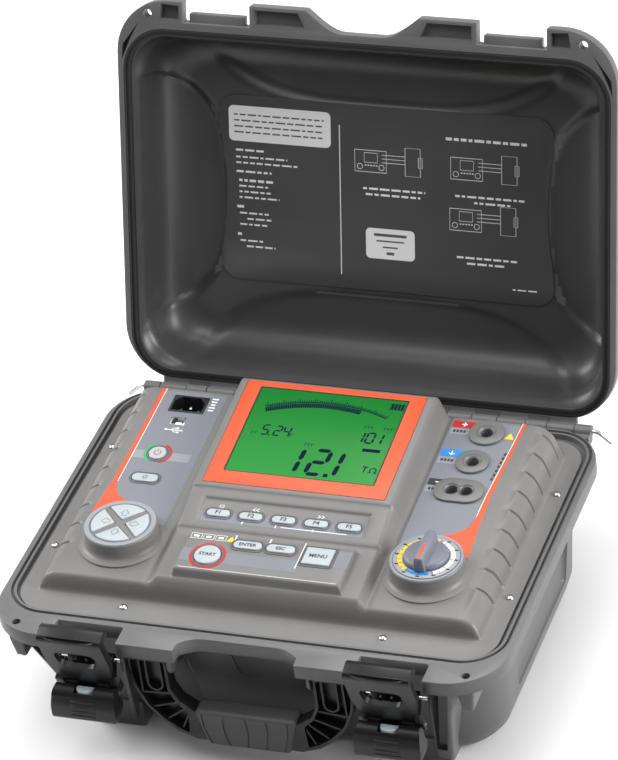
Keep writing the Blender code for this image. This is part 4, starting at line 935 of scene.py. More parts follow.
def build_keys():
    for name, points, x, y, which, proud in KEYS:
        made = raised(name + "_cap", points, proud - 0.0056, proud, tilted(which, x, y), 0.0007, 3, 40.0)
        shown(made, KEY, name, [name])
    for name, points, x, y, which, _ in KEYS:
        if "arrow" not in name:
            rim = on(which, 0.0004, 0.0008)
            rim.line([(x + px, y + py) for px, py in grown(points, 0.0016)], 0.0011, True)
            rim.done(name + "_rim", KEY_DARK)
    start = on(PLATE, 0.0003, 0.0004)
    for a, b in ((-105, 68), (82, 248)):
        start.line(arc((START_X, START_Y), 0.0126, a, b, 12), 0.0018)
    start.done("start_ring", RED)
    lettered("START", START_X, -0.0814, 0.0044, PLATE, 0.0018, "key_start")
    lettered("ENTER", -0.016, -0.0668, 0.0044, PLATE, 0.0014, "key_enter")
    lettered("ESC", 0.0092, -0.0668, 0.0044, PLATE, 0.0014, "key_escape")
    lettered("MENU", 0.0388, -0.0704, 0.005, PLATE, 0.0014, "key_menu")
    for i, x in enumerate(FUNCTION_X):
        lettered("F%d" % (i + 1), x, -0.0347, 0.0052, RECESS, 0.0014, "key_function_%d" % (i + 1))
    # symbols on the caps
    power = on(SIDE, 0.00006, 0.0002, 0.0014)
    power.line(arc((POWER_X, 0.0336), 0.0026, -235, 55, 14), 0.0007)
    power.line([(POWER_X, 0.034), (POWER_X, 0.0372)], 0.0007)
    power.done("power_symbol", RED, "key_power", "key_grey")
    lamp = on(SIDE, 0.00006, 0.0002, 0.0014)
    lamp.line(circle(0.0013, 14, (LAMP_X, LAMP_Y)), 0.0004, True)
    for a in range(0, 360, 45):
        lamp.line(spoke((LAMP_X, LAMP_Y), 0.0019, 0.0029, radians(a)), 0.0004)
    lamp.done("lamp_symbol", INK, "key_backlight", "key_grey")
    arrow = [(0.0105, 0.0032), (0.0105, 0.0016), (0.008, 0.0016), (0.008, -0.0016), (0.0105, -0.0016),
        (0.0105, -0.0032), (0.015, 0.0)]
    for i, word in enumerate(DIRECTIONS):
        mark = on(FLAT_TOP, 0.00006, 0.0002, 0.001)
        turn = Matrix.Rotation(i * pi / 2, 2)
        mark.line([turn @ Vector(p) + Vector((-PED_X, PED_Y)) for p in arrow], 0.0004, True)
        mark.done("arrow_symbol_" + word, INK, "key_arrow_" + word, "key_grey")
    ring = on(FLAT_TOP, 0.00025, 0.0006)
    ring.line(circle(0.0247, 64, (-PED_X, PED_Y)), 0.0034, True)
    ring.done("keypad_ring", LABEL_PALE)


DIGIT_SLANT = 0.08


def spoke(centre, inner, outer, angle):
    """Short radial line."""
    c, s = cos(angle), sin(angle)
    return [(centre[0] + inner * c, centre[1] + inner * s), (centre[0] + outer * c, centre[1] + outer * s)]


def lettered(text, x, y, size, which, proud, body):
    """Generic function word on a key, as thin raised lettering."""
    curve = bpy.data.curves.new("word_" + text, "FONT")
    curve.body = text
    curve.size = size
    curve.align_x = "CENTER"
    curve.extrude = 0.00008
    curve.offset = 0.0001
    turn = Matrix.Rotation(atan(which[1]), 4, "X")
    place = Matrix.Translation((x, y, deck(which, y) + proud)) @ turn
    shown(meshed("lettering_" + text, curve), INK, body, matrix=place)


def digit_areas(value, x, y, width, height, stroke):
    """Seven segment figure as short bars, lower left corner at (x, y)."""
    table = {"0": "abcdef", "1": "bc", "2": "abged", "3": "abgcd", "4": "fgbc", "5": "afgcd", "6": "afgedc",
        "7": "abc", "8": "abcdefg", "9": "abcdfg"}
    g = stroke * 0.16
    half = height / 2
    bars = {"a": ((g, height), (width - g, height), 1), "d": ((g, 0), (width - g, 0), 1),
        "g": ((g, half), (width - g, half), 1), "f": ((0, half + g), (0, height - g), 0),
        "e": ((0, g), (0, half - g), 0), "b": ((width, half + g), (width, height - g), 0),
        "c": ((width, g), (width, half - g), 0)}
    shapes = []
    for key in table[value]:
        (x0, y0), (x1, y1), flat = bars[key]
        s = stroke / 2
        if flat:
            pts = [(x0, y0), (x0 + s, y0 - s), (x1 - s, y1 - s), (x1, y1), (x1 - s, y1 + s),
                (x0 + s, y0 + s)]
        else:
            pts = [(x0, y0), (x0 + s, y0 + s), (x1 + s, y1 - s), (x1, y1), (x1 - s, y1 - s),
                (x0 - s, y0 + s)]
        shapes.append([(x + px + DIGIT_SLANT * py, y + py) for px, py in pts])
    return shapes


def build_display():
    place = tilted(SCREEN, 0.0, SCREEN_Y)
    front, rear = -0.0417, 0.0489
    bezel = raised("display_frame", outline(0.07, -0.0548, 0.0548, 0.0012, 4), -0.0008, 0.0003, place,
        0.00015)
    boolean(bezel, [raised("hole", outline(0.0583, front, rear, 0.0008, 3), -0.005, 0.005, place)])
    shown(bezel, ORANGE, "case", ["display_bezel"])
    glass = raised("display_face", outline(0.058, front + 0.0003, rear - 0.0003, 0.0006, 3), -0.0009, 0.0,
        place, 0.0001, 1)
    shown(glass, LCD, "case", ["display_window"])
    dark = on(SCREEN, 0.00034, 0.0005)
    dark.line(rect(-0.0576, 0.0052, 0.0576, 0.0952), 0.001, True)
    dark.done("display_inner_line", INK, "case", "bezel_orange")
    lit = on(SCREEN, 0.00006, 0.0002)
    # value, lower left corner, width, height and stroke; a "1" has no width
    for value, x, y, width, height, stroke in (("1", -0.006, 0.0105, 0.0001, 0.025, 0.0036),
            ("2", 0.003, 0.0105, 0.0115, 0.025, 0.0036), ("1", 0.0245, 0.0105, 0.0001, 0.025, 0.0036),
            ("5", -0.043, 0.046, 0.0048, 0.01, 0.0013), ("2", -0.0335, 0.046, 0.0048, 0.01, 0.0013),
            ("4", -0.0265, 0.046, 0.0048, 0.01, 0.0013), ("1", 0.0345, 0.048, 0.0001, 0.0105, 0.0015),
            ("0", 0.0372, 0.048, 0.0055, 0.0105, 0.0015), ("1", 0.049, 0.048, 0.0001, 0.0105, 0.0015)):
        for shape in digit_areas(value, x, y, width, height, stroke):
            lit.area(shape)
    lit.box(0.019, 0.0105, 0.0017, 0.0017)
    lit.box(-0.0365, 0.046, 0.0007, 0.0007)
    lit.line([(0.044, 0.0235), (0.048, 0.0235), (0.046, 0.0235), (0.046, 0.018)], 0.001)
    lit.line(arc((0.0525, 0.0205), 0.0024, -60, 240, 12), 0.0008)
    lit.line([(0.0494, 0.018), (0.0512, 0.018)], 0.0008)
    lit.line([(0.0538, 0.018), (0.0556, 0.018)], 0.0008)
    lit.box(0.045, 0.0405, 0.0068, 0.0016)
    # bar graph on an arc
    centre, radius = (-0.001, -0.033), 0.118
    for i in range(58):
        a = radians(66.5 + 47 * i / 57)
        tall = 0.0036 if i % 7 == 0 else 0.002
        lit.line(spoke(centre, radius, radius + tall, a), 0.0007)
        if i > 12:
            lit.line(spoke(centre, radius - 0.0058, radius - 0.0014, a), 0.0014)
    lit.line(arc(centre, radius - 0.0004, 66.5, 113.5, 40), 0.0009)
    for n in range(4):
        lit.box(0.047 + 0.0026 * n, 0.088, 0.001, 0.0026)
    lit.line(rect(0.0452, 0.085, 0.0566, 0.091), 0.0005, True)
    for x0, y, count in ((-0.05, 0.047, 2), (-0.006, 0.04, 3), (0.033, 0.064, 3), (0.048, 0.064, 3),
            (-0.02, 0.048, 1)):
        for x in [x0 + 0.0026 * k for k in range(count)]:
            lit.line([(x, y - 0.0012), (x, y + 0.0012), (x + 0.0014, y + 0.0012)], 0.0006)
    lit.done("display_segments", NAVY, "case", "window_clear")


def build_prints():
    """Labels, stripes and marks printed on the decks."""
    label = on(SIDE, 0.0001)
    label.area([(-0.0905, -0.042), (-0.0905, 0.104), (-0.1408, 0.104), (-0.1415, 0.05), (-0.1425, 0.0),
        (-0.139, -0.012), (-0.129, -0.02), (-0.118, -0.026), (-0.11, -0.032), (-0.099, -0.035),
        (-0.095, -0.041)])
    label.area([(0.0872, -0.04), (0.096, -0.036), (0.11, -0.03), (0.117, -0.0205), (0.129, -0.013),
        (0.135, 0.003), (0.1358, 0.0265), (0.1396, 0.0845), (0.1408, 0.104), (0.0872, 0.104)])
    label.done("side_labels", LABEL, holes=True)
    band = on(SIDE, 0.00018)
    band.area([(-0.096, 0.027), (-0.096, 0.036), (-0.1432, 0.036), (-0.1436, 0.027)])
    band.area(rect(0.0884, 0.056, 0.106, 0.0635))
    band.area(rect(0.0884, 0.0885, 0.107, 0.0955))
    band.area(rect(0.0884, 0.0245, 0.101, 0.0315))
    band.done("label_bands", LABEL_PALE, holes=True)
    stripe = on(SIDE, 0.00022)
    left_in = [(-0.1402, 0.106), (-0.1411, 0.05), (-0.1421, 0.0), (-0.1413, -0.006), (-0.1396, -0.0102),
        (-0.136, -0.0142), (-0.129, -0.0188), (-0.118, -0.0225)]
    left_out = [(-0.1436, 0.106), (-0.1443, 0.05), (-0.1461, 0.0), (-0.1474, -0.012), (-0.1496, -0.034),
        (-0.147, -0.0385), (-0.1378, -0.0408), (-0.129, -0.0335), (-0.118, -0.0312)]
    stripe.area(left_in + left_out[::-1])
    right_in = [(0.1404, 0.107), (0.1392, 0.0845), (0.1354, 0.0265), (0.1348, 0.004), (0.1332, -0.006),
        (0.1296, -0.0118), (0.124, -0.016), (0.116, -0.0192)]
    right_out = [(0.1428, 0.107), (0.1416, 0.0845), (0.1388, 0.0265), (0.1392, 0.0), (0.1402, -0.025),
        (0.141, -0.04), (0.1378, -0.0408), (0.129, -0.0335), (0.116, -0.0312)]
    stripe.area(right_in + right_out[::-1])
    stripe.done("orange_stripes", ORANGE)
    pale = on(SIDE, 0.0002)
    pale.line([(x + 0.0003, y) for x, y in left_in[:3]], 0.0004)
    pale.line([(x - 0.0003, y) for x, y in right_in[:4]], 0.0004)
    # data socket symbol
    pale.line([(-0.125, 0.061), (-0.1135, 0.061)], 0.0007)
    pale.line([(-0.1215, 0.061), (-0.1195, 0.0632), (-0.117, 0.0632)], 0.0006)
    pale.line([(-0.1205, 0.061), (-0.1185, 0.0588), (-0.116, 0.0588)], 0.0006)
    pale.area([(-0.1135, 0.0618), (-0.1135, 0.0602), (-0.1115, 0.061)])
    pale.area(circle(0.0011, 12, (-0.1255, 0.061)))
    pale.box(-0.1165, 0.0632, 0.0009, 0.0009)
    pale.area(circle(0.0009, 12, (-0.1155, 0.0588)))
    for n in range(5):
        pale.box(-0.0985, 0.099 - 0.0032 * n, 0.0024 - 0.0003 * (n % 3), 0.0007)
    pale.done("pale_marks", WHITE)
    green = on(SIDE, 0.00024)
    green.line(arc((POWER_X, POWER_Y), 0.0102, 110, 250, 18), 0.0016)
    green.done("power_arc_green", GREEN_INK)
    red = on(SIDE, 0.00024)
    red.line(arc((POWER_X, POWER_Y), 0.0102, -70, 70, 18), 0.0016)
    red.area(rect(0.0884, 0.096, 0.1075, 0.1032))
    red.done("red_marks", RED)
    blue = on(SIDE, 0.00024)
    blue.area(rect(0.0884, 0.064, 0.1062, 0.0715))
    blue.done("blue_marks", BLUE)
    black = on(SIDE, 0.00024)
    black.area(rect(0.0884, 0.032, 0.1012, 0.0388))
    for x0, y0, n in ((0.09, 0.092, 4), (0.09, 0.0598, 4), (0.09, 0.028, 3)):
        for k in range(n):
            black.box(x0 + 0.0014 + 0.0026 * k, y0, 0.0009, 0.0013)
    for k in range(7):
        black.box(0.1365 - 0.0004 * k, 0.072 - 0.0046 * k, 0.0008, 0.0015)
    black.done("dark_marks", INK)
    signs = on(SIDE, 0.0003)
    signs.box(0.0975, 0.0996, 0.0021, 0.00055)
    signs.box(0.0975, 0.0996, 0.00055, 0.0021)
    signs.box(0.096, 0.0354, 0.0021, 0.00055)
    signs.line([(0.0968, 0.0698), (0.0968, 0.0656)], 0.0007)
    signs.line([(0.0946, 0.0678), (0.0968, 0.0656), (0.099, 0.0678)], 0.0007)
    signs.done("socket_signs", WHITE)
    warn = on(SIDE, 0.00026)
    warn.area([(0.1305, 0.0885), (0.138, 0.0885), (0.1342, 0.095)])
    warn.done("warning_patch", YELLOW)

    white = on(PLATE)
    for x in [-0.057 + 0.0094 * n for n in range(3)]:
        white.line(rect(x - 0.004, -0.0628, x + 0.004, -0.0575), 0.0004, True)
        white.box(x, -0.0602, 0.002, 0.0009)
    white.line([(-0.0275, -0.0556), (-0.0275, -0.06)], 0.001)
    white.line([(-0.001, -0.0556), (-0.001, -0.06)], 0.001)
    white.line([(0.0254, -0.0556), (0.0254, -0.0612), (0.0254, -0.083)], 0.0006)
    white.line([(-0.06, -0.094), (0.06, -0.094)], 0.0003)
    white.done("plate_marks", WHITE)
    band = on(PLATE, 0.00006)
    band.area(rect(-0.0625, -0.087, -0.054, -0.0735))
    band.area(rect(0.052, -0.0775, 0.0625, -0.06))
    band.area(rect(-0.03, -0.087, 0.027, -0.0745))
    band.done("plate_bands", LABEL, holes=True)
    patch = on(PLATE, 0.00016)
    patch.area([(-0.0335, -0.063), (-0.027, -0.063), (-0.0302, -0.0575)])
    patch.done("plate_patch", YELLOW)
    low = on(RECESS, 0.0001)
    low.area(rect(-0.062, -0.0415, 0.062, -0.0222))
    low.done("function_label", LABEL, holes=True)
    marks = on(RECESS, 0.00022)
    for x, tip in ((-0.0246, -0.001), (-0.0218, -0.001), (0.0255, 0.001), (0.0283, 0.001)):
        marks.line([(x - tip, -0.0243), (x + tip, -0.0256), (x - tip, -0.0269)], 0.0005)
    marks.line([(-0.051, -0.0268), (-0.051, -0.0245), (-0.048, -0.0245), (-0.048, -0.0268)], 0.0004, True)
    for x in (-0.0294, -0.0037, 0.0248):
        marks.line([(x, -0.0375), (x, -0.0412)], 0.0007)
    marks.line([(0.0004, -0.04), (0.0505, -0.04)], 0.0005)
    marks.done("function_marks", WHITE)


def build_dial():
    x, y = PED_X, PED_Y
    disc = turned("dial_disc", [(0.0168, 0.0003), (0.0168, 0.0009), (0.0236, 0.0009), (0.024, 0.0007),
        (0.024, 0.0003), (0.0168, 0.0003)], (x, y), 72)
    disc.data.transform(Matrix.Translation((0, 0, PED_TOP)))
    weld = bmesh.new()
    weld.from_mesh(disc.data)
    bmesh.ops.remove_doubles(weld, verts=weld.verts, dist=1e-6)
    bmesh.ops.recalc_face_normals(weld, faces=weld.faces)
    weld.to_mesh(disc.data)
    weld.free()
    shown(disc, DIAL, "case", ["dial_scale"])
    for name, look, start, end, steps in (("dial_yellow", YELLOW, 75, 235, 40),
            ("dial_white", WHITE, -60, 68, 34), ("dial_blue", BLUE, 242, 292, 12)):
        scale = on(FLAT_TOP, 0.001)
        scale.line(arc((x, y), 0.0193, start, end, steps), 0.003)
        scale.done(name, look, "case", "dial_light")
    ticks = on(FLAT_TOP, 0.00112)
    for i in range(24):
        a = radians(15 * i)
        ticks.line(spoke((x, y), 0.0192 if i % 2 else 0.0179, 0.0206, a), 0.0005)
        if i % 2 == 0:
            ticks.box(x + 0.0222 * cos(a), y + 0.0222 * sin(a), 0.0013, 0.0006)
    ticks.done("dial_ticks", INK, "case", "dial_light")
    ring = on(FLAT_TOP, 0.0002, 0.0005)
    ring.line(circle(0.0256, 72, (x, y)), 0.0016, True)
    ring.done("dial_surround", LABEL_PALE)
    knob = turned("knob_disc", [(0.0, 0.0058), (0.0132, 0.0056), (0.0152, 0.005), (0.016, 0.0041),
        (0.0163, 0.003), (0.0163, 0.0012), (0.016, 0.0004), (0.003, 0.0004), (0.003, -0.015),
        (0.0, -0.015)], (0, 0), 64)
    plan = [(0.0036, -0.0178), (0.004, -0.012), (0.0046, 0.0), (0.004, 0.012), (0.0034, 0.0172),
        (0.0018, 0.018), (-0.0018, 0.018), (-0.0034, 0.0172), (-0.004, 0.012), (-0.0046, 0.0),
        (-0.004, -0.012), (-0.0036, -0.0178), (-0.0012, -0.018), (0.0012, -0.018)]
    bar = loft("knob_bar", [[(a * 1.25, b, 0.0012) for a, b in plan],
        [(a * 1.0, b * 0.985, 0.0085) for a, b in plan], [(a * 0.9, b * 0.95, 0.0125) for a, b in plan]],
        0.0009, 3, 30)
    boolean(knob, [bar], "UNION")
    shown(knob, KNOB, "knob", ["rotary_knob"], matrix=Matrix.Translation((x, y, PED_TOP)))
    mark = on(FLAT_TOP, 0.00008, 0.0005, 0.0125)
    mark.area(rect(x - 0.001, y - 0.0162, x + 0.001, y + 0.001))
    mark.done("knob_marker", ORANGE, "knob", "knob_dark")


def build_sockets():
    for name, x, y, points, bores in SOCKETS:
        place = tilted(SIDE, x, y)
        body = raised(name + "_shell", points, 0.0003, 0.0022, place, 0.0008, 3, 40)
        stem = raised("stem", grown(points, -0.0022), -0.027, 0.001, place)
        boolean(body, [stem], "UNION")
        tools = []
        for offset in bores:
            shift = place @ Matrix.Translation((offset, 0, 0))
            tools.append(raised("bore", circle(0.0048, 32), -0.024, 0.01, shift))
            funnel = loft("funnel", [[(a, b, 0.001) for a, b in circle(0.0048, 32)],
                [(a, b, 0.0026) for a, b in circle(0.0064, 32)]])
            funnel.data.transform(shift)
            tools.append(funnel)
        boolean(body, tools)
        shown(body, SOCKET, "case", [name])
        inner = on(SIDE, 0.0024)
        for offset in bores:
            inner.line(circle(0.007 if len(bores) == 1 else 0.006, 36, (x + offset, y)), 0.0006, True)
        inner.done(name + "_ring", KEY_DARK, "case", "socket_grey")
        pins = on(SIDE, 0.0, 0.003, -0.02)
        for offset in bores:
            pins.area(circle(0.0019, 20, (x + offset, y + 0.0015)))
        pins.done(name + "_contact", STEEL, "case", "steel")
    place = tilted(SIDE, INLET_X, INLET_Y)
    inlet = raised("inlet_shell", outline(0.0141, -0.0093, 0.0093, 0.0008, 4), -0.023, 0.0005, place,
        0.0003)
    mouth = [(-0.0122, -0.0076), (0.0122, -0.0076), (0.0122, 0.0028), (0.0072, 0.0076), (-0.0072, 0.0076),
        (-0.0122, 0.0028)]
    boolean(inlet, [raised("mouth", mouth, -0.017, 0.005, place)])
    shown(inlet, INLET, "case", ["mains_inlet"])
    blades = [raised("blade", rect(x - 0.001, y - 0.002, x + 0.001, y + 0.002), -0.0175, -0.0045, place,
        0.0003) for x, y in ((-0.007, -0.0022), (0.0, 0.002), (0.007, -0.0022))]
    shown(merged("inlet_blades", blades), STEEL, "case")
    place = tilted(SIDE, DATA_X, DATA_Y)
    usb = raised("data_socket", outline(0.006, -0.0043, 0.0043, 0.0008, 3), -0.016, 0.0003, place, 0.0002)
    boolean(usb, [raised("mouth", outline(0.0045, -0.0036, 0.0036, 0.0008, 3), -0.012, 0.005, place)])
    shown(usb, STEEL, "case", ["usb_socket"])
    tongue = raised("data_tongue", outline(0.0026, -0.0012, 0.0012, 0.0002, 2), -0.013, -0.002, place,
        0.0002)
    shown(tongue, WHITE, "case")


def build_screws():
    for i, (x, y) in enumerate(SCREWS):
        screw = turned("screw_%d" % (i + 1), [(0.0, 0.0019), (0.001, 0.00185), (0.002, 0.0015),
            (0.0027, 0.0009), (0.003, 0.0003), (0.0014, 0.0003), (0.0014, -0.007), (0.0, -0.007)], (0, 0),
            28)
        tools = []
        for a in (0.35 + i, 0.35 + i + pi / 2):
            slot = block("slot", (-0.0017, -0.00028, 0.0009), (0.0017, 0.00028, 0.003))
            slot.data.transform(Matrix.Rotation(a, 4, "Z"))
            tools.append(slot)
        boolean(screw, tools)
        shown(screw, STEEL, "case", ["panel_screw_%d" % (i + 1)],
            matrix=Matrix.Translation((x, y, RIM - 0.0015)))


# ------------------------------------------------------------------ latches and handle
CLAW_Y, CLAW_Z, CLAW_LEAN = -0.155, RIM - 0.04, radians(20.0)
CLAW_PLACE = (Matrix.Translation((0, CLAW_Y, CLAW_Z)) @ Matrix.Rotation(CLAW_LEAN, 4, "X")
    @ Matrix.Translation((0, -CLAW_Y, -CLAW_Z)))


def rounded(points, radius, steps=4):
    """Closed outline with each corner replaced by a short curve."""
    made = []
    count = len(points)
    for i, here in enumerate(points):
        before, after = points[i - 1], points[(i + 1) % count]
        d0 = min(radius, 0.45 * dist(before, here))
        d1 = min(radius, 0.45 * dist(after, here))
        a = [h + (b - h) * d0 / dist(before, here) for h, b in zip(here, before)]
        c = [h + (b - h) * d1 / dist(after, here) for h, b in zip(here, after)]
        for k in range(steps + 1):
            t = k / steps
            made.append(tuple((1 - t) ** 2 * p + 2 * t * (1 - t) * h + t * t * q for p, h,
                q in zip(a, here, c)))
    return made


def rise(points):
    return [(y, RIM + z) for y, z in points]


def build_latch(side, word):
    x0 = side * LATCH_X
    low, high = x0 - 0.0246, x0 + 0.0246
    profile = rounded(rise([(-0.1585, -0.044), (-0.152, -0.044), (-0.152, 0.008), (-0.1525, 0.0128),
        (-0.143, 0.0128), (-0.143, 0.0175), (-0.147, 0.0205), (-0.156, 0.0205), (-0.1585, 0.018)]), 0.0016,
        3)
    claw = prism("claw_body", profile, low, high, "YZ", 0.0006, 2, 40)
    window = prism("window", rounded(trapezium(x0, 0.014, -0.0145, 0.0165, 0.0045), 0.008, 6), -0.162,
        -0.149, "XZ")
    hollow = prism("hollow", rounded(trapezium(x0, 0.0185, -0.03, 0.0195, 0.0085), 0.005, 4), -0.1545,
        -0.149, "XZ")
    notch = block("notch", (x0 - 0.0178, -0.165, RIM - 0.047), (x0 + 0.0178, -0.148, RIM - 0.0335))
    dip = [(x0 + 0.02 * cos(radians(a)), RIM + 0.0208 - 0.003 * sin(radians(a)))
        for a in range(180, -1, -12)]
    scallop = prism("scallop", [(x0 - 0.02, RIM + 0.0215)] + dip + [(x0 + 0.02, RIM + 0.0215)], -0.161,
        -0.1556, "XZ")
    bore = rod("bore", BORE_R, low - 0.001, high + 0.001, (CLAW_Y, CLAW_Z), sides=20)
    tools = [window, notch, scallop, bore, hollow]
    for s in (-1, 1):
        tools.append(prism("taper", [(x0 + s * x, RIM - z) for x, z in ((0.026, 0.006), (0.0246, 0.008),
            (0.0225, 0.02), (0.0196, 0.029), (0.019, 0.033), (0.0196, 0.0345), (0.026, 0.0345))], -0.162,
            -0.149, "XZ"))
    boolean(claw, tools)
    bars = [block("rib", (x0 + u - 0.0007, -0.1536, RIM - 0.029), (x0 + u + 0.0007, -0.1519, RIM - 0.012))
        for u in (-0.012, -0.004, 0.004, 0.012)]
    bars += [block("rib", (x0 - 0.018, -0.1536, RIM + z), (x0 + 0.018, -0.1519, RIM + z + 0.0014))
        for z in (-0.021, 0.0066)]
    boolean(claw, bars, "UNION")
    shown(claw, LATCH, "claw_" + word, ["latch_claw_" + word], matrix=CLAW_PLACE)

    low, high = x0 - 0.0174, x0 + 0.0174
    lever = prism("lever_body", rounded(rise([(-0.148, -0.0225), (-0.1405, -0.0225), (-0.14, -0.029),
        (-0.147, -0.044), (-0.158, -0.056), (-0.164, -0.052), (-0.1615, -0.045), (-0.16, -0.0375),
        (-0.156, -0.0342), (-0.1512, -0.0342), (-0.1495, -0.03)]), 0.0012, 3), low, high, "YZ", 0.0005, 2,
        40)
    thumb = prism("thumb", rounded(rise([(-0.1615, -0.0372), (-0.1605, -0.048), (-0.156, -0.053),
        (-0.161, -0.061), (-0.169, -0.064), (-0.1748, -0.06), (-0.1742, -0.05), (-0.1705, -0.0405),
        (-0.166, -0.0368)]), 0.0026, 4), x0 - 0.025, x0 + 0.025, "YZ", 0.0009, 2, 40)
    plan = [(x0 + x, RIM + z) for x, z in ((-0.0235, -0.035), (-0.0252, -0.056), (-0.0225, -0.065),
        (0.0225, -0.065), (0.0252, -0.056), (0.0235, -0.035))]
    shape = prism("shape", rounded(plan, 0.006, 5), -0.18, -0.15, "XZ")
    boolean(thumb, [shape], "INTERSECT")
    boolean(lever, [thumb], "UNION")
    # four ridges on the front of the thumb lever
    ridges = [prism("ridge", circle(0.0011, 12, (y + 0.0004, RIM + z)), x0 - 0.0095, x0 + 0.0095, "YZ",
        0.0004) for z, y in ((-0.0455, -0.1726), (-0.0492, -0.1738), (-0.0529, -0.1744),
        (-0.0566, -0.1746))]
    boolean(lever, ridges, "UNION")
    boolean(lever, [block("slot", (x0 - 0.0076, -0.1695, RIM - 0.05), (x0 + 0.0076, -0.1585, RIM - 0.03)),
        rod("bore", BORE_R, x0 - 0.03, x0 + 0.03, LATCH_AXIS, sides=20),
        rod("bore", PIN_R, x0 - 0.03, x0 + 0.03, (CLAW_Y, CLAW_Z), sides=20)])
    shown(lever, LATCH, "lever_" + word, ["latch_lever_" + word])
    crescent = [(x0 - 0.007, -0.1618), (x0 + 0.007, -0.1618)]
    crescent += [(x0 + 0.007 * cos(radians(a)),
        -0.163 - 0.006 * sin(radians(a))) for a in range(8, 173, 12)]
    button = prism("button", crescent, RIM - 0.0492, RIM - 0.0385, bevel=0.0006, segments=3)
    shown(button, KEY, "release_" + word, ["latch_button_" + word])
    for name, half, centre, body in (("latch_pivot_pin_", 0.0256, LATCH_AXIS, "case"),
            ("latch_claw_pin_", 0.0244, (CLAW_Y, CLAW_Z), "lever_" + word)):
        pin = rod(name + word + "_piece", PIN_R, x0 - half, x0 + half, centre, sides=28, bevel=0.0003)
        shown(pin, STEEL, body, [name + word])


def build_handle():
    outer = [(0.0, -0.087), (0.04, -0.0865), (0.054, -0.0815), (0.065, -0.073), (0.076, -0.06),
        (0.083, -0.044), (0.0852, -0.032), (0.0852, -0.0155)]
    inner = [(0.0, -0.06), (0.04, -0.06), (0.05, -0.053), (0.0552, -0.042), (0.0552, -0.0155)]
    loop = outer + inner[::-1]
    loop += [(-x, z) for x, z in reversed(loop) if x > 0.0]
    points = [(x, RIM + z) for x, z in loop]
    bail = prism("bail", points, -0.15, -0.138, "XZ", 0.001, 2, 40)
    tools = []
    for side in (-1, 1):
        tools.append(rod("bore", BORE_R, *ends(side, 0.05, 0.09), HANDLE_AXIS, sides=20))
        pocket = [(0.0574, -0.018), (0.083, -0.018), (0.0829, -0.0318), (0.0808, -0.0432),
            (0.0742, -0.0585), (0.0636, -0.0705), (0.053, -0.078), (0.0455, -0.0815), (0.044, -0.0625),
            (0.052, -0.055), (0.0574, -0.043)]
        cut = prism("pocket", rounded([(side * x, RIM + z) for x, z in pocket], 0.002, 3), -0.153, -0.1425,
            "XZ")
        # ribs left standing in the pocket
        paths = [[(0.0612, -0.0165)] + arc((0.0667, -0.04), 0.0055, 180, 360, 10) + [(0.0722, -0.0165)],
            [(0.056, -0.047), (0.0812, -0.049)], [(0.051, -0.055), (0.074, -0.0625)],
            [(0.0465, -0.06), (0.064, -0.0735)], [(0.043, -0.062), (0.052, -0.081)],
            [(0.077, -0.0165), (0.0775, -0.048)]]
        for path in paths:
            left, right = ribbon([(side * x, RIM + z) for x, z in path], 0.0014)
            boolean(cut, [prism("rib", left + right[::-1], -0.1486, -0.1405, "XZ")])
        tools.append(cut)
    boolean(bail, tools)
    shown(bail, LATCH, "handle", ["handle_bail"])
    grip = prism("grip", trapezium(0.0, 0.0315, -0.089, 0.0395, -0.058), -0.1525, -0.1355, "XZ", 0.0038, 4,
        30)
    boolean(grip, [prism("bore", trapezium(0.0, 0.06, -0.0873, 0.06, -0.0597), -0.1503, -0.1377, "XZ")])
    for i in range(5):
        t = -1.0 + 0.5 * i
        path = [(t * (0.0325 - 0.005 * k / 8) + 0.0016 * sin(pi * k / 8) * (1 if t >= 0 else -1),
            RIM - 0.0605 - 0.0255 * k / 8) for k in range(9)]
        left, right = ribbon(path, 0.002)
        boolean(grip, [prism("groove", left + right[::-1], -0.1535, -0.1517, "XZ")])
    shown(grip, GRIP, "handle", ["handle_grip"])
    for side, word in ((-1, "left"), (1, "right")):
        low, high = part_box("handle_pin_" + word)
        pin = rod("handle_pin_%s_piece" % word, PIN_R, low[0], high[0], HANDLE_AXIS, sides=28, bevel=0.0003)
        shown(pin, STEEL, "case", ["handle_pin_" + word])


def dress(look, *nodes):
    """Gives kept CAD nodes their material."""
    for made in bpy.data.objects:
        if made.type == "MESH" and made.name in nodes:
            made.data.materials.clear()
            made.data.materials.append(look)


# ------------------------------------------------------------------ whole model
build_lid()
build_base()
build_panel()
build_display()
build_prints()
build_keys()
build_dial()
build_sockets()
build_screws()
build_latch(-1, "left")
build_latch(1, "right")
build_handle()
dress(LCD, "display_module")
dress(BOARD, "main_board", "keypad_board")
dress(MODULE, "high_voltage_module", "rotary_switch")
dress(CELL, "battery_pack")

# ------------------------------------------------------------------ floor, light and camera
FLOOR = moulded("floor_paper", (0.86, 0.86, 0.86), 0.8, grain=300.0, depth=0.00002, mottle=0.01)
ground = prism("floor", circle(6.0, 96), -0.01, 0.0, bevel=0.002)
ground.data.materials.append(FLOOR)
ground.visible_diffuse = False


TARGET = Vector((0.0, 0.0, 0.12))


def light(name, where, power, size):
    lamp = bpy.data.lights.new(name, "AREA")
    lamp.size = size
    lamp.energy = power
    made = bpy.data.objects.new(name, lamp)
    made.location = where
    made.rotation_euler = (TARGET - Vector(where)).to_track_quat("-Z", "Y").to_euler()
    bpy.context.scene.collection.objects.link(made)


light("left_soft", (-2.2, 0.2, 1.5), 46.0, 1.3)
light("right_soft", (2.3, 0.0, 1.0), 62.0, 1.3)
light("top_soft", (0.0, 0.9, 2.3), 26.0, 1.5)
light("front_soft", (-0.2, -1.1, 2.6), 16.0, 1.0)


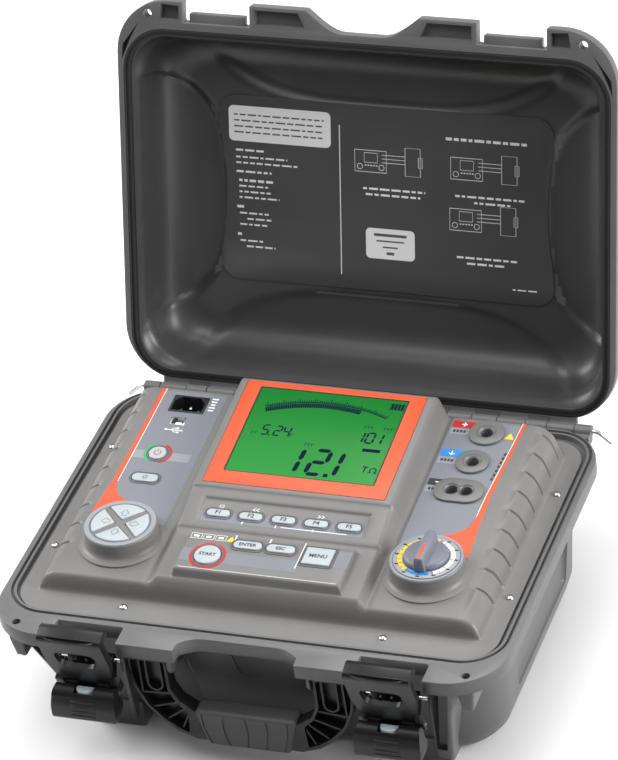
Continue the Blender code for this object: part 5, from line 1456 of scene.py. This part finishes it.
def studio_world():
    """White room that is bright above, behind and to the sides, and dim low in front."""
    world = bpy.data.worlds.new("studio")
    bpy.context.scene.world = world
    world.use_nodes = True
    nodes, links = world.node_tree.nodes, world.node_tree.links
    place = nodes.new("ShaderNodeTexCoord")
    split = nodes.new("ShaderNodeSeparateXYZ")
    links.new(place.outputs["Generated"], split.inputs["Vector"])
    side = nodes.new("ShaderNodeMath")
    side.operation = "ABSOLUTE"
    links.new(split.outputs["X"], side.inputs[0])
    total = None
    for socket, weight in ((side.outputs[0], 0.45), (split.outputs["Y"], 0.25), (split.outputs["Z"], 0.75)):
        scaled = nodes.new("ShaderNodeMath")
        scaled.operation = "MULTIPLY"
        scaled.inputs[1].default_value = weight
        links.new(socket, scaled.inputs[0])
        if total is not None:
            both = nodes.new("ShaderNodeMath")
            both.operation = "ADD"
            links.new(total, both.inputs[0])
            links.new(scaled.outputs[0], both.inputs[1])
            total = both.outputs[0]
        else:
            total = scaled.outputs[0]
    ramp = nodes.new("ShaderNodeValToRGB")
    ramp.color_ramp.elements[0].position = 0.12
    ramp.color_ramp.elements[0].color = (0.05, 0.05, 0.055, 1.0)
    ramp.color_ramp.elements[1].position = 0.85
    ramp.color_ramp.elements[1].color = (1.0, 1.0, 1.0, 1.0)
    links.new(total, ramp.inputs["Fac"])
    links.new(ramp.outputs["Color"], nodes["Background"].inputs["Color"])
    nodes["Background"].inputs["Strength"].default_value = 0.8


studio_world()
bpy.context.scene.view_settings.view_transform = "Standard"

# the photograph's camera
FOCAL_MM, SENSOR_MM = 215.79, 36.0
EYE = (1.07064, -2.4258, 2.12706)
azimuth, elevation, roll = radians(23.381), radians(35.42), radians(-8.321)
back = Vector((sin(azimuth) * cos(elevation), -cos(azimuth) * cos(elevation), sin(elevation)))
right = (-back).cross(Vector((0, 0, 1))).normalized()
up = right.cross(-back)
across = right * cos(roll) + up * sin(roll)
upward = up * cos(roll) - right * sin(roll)
lens = bpy.data.cameras.new("photo_camera")
lens.lens = FOCAL_MM
lens.sensor_width = SENSOR_MM
lens.clip_end = 50.0
eye = bpy.data.objects.new("photo_camera", lens)
turn = Matrix((across, upward, back)).transposed().to_4x4()
eye.matrix_world = Matrix.Translation(EYE) @ turn
bpy.context.scene.collection.objects.link(eye)
bpy.context.scene.camera = eye
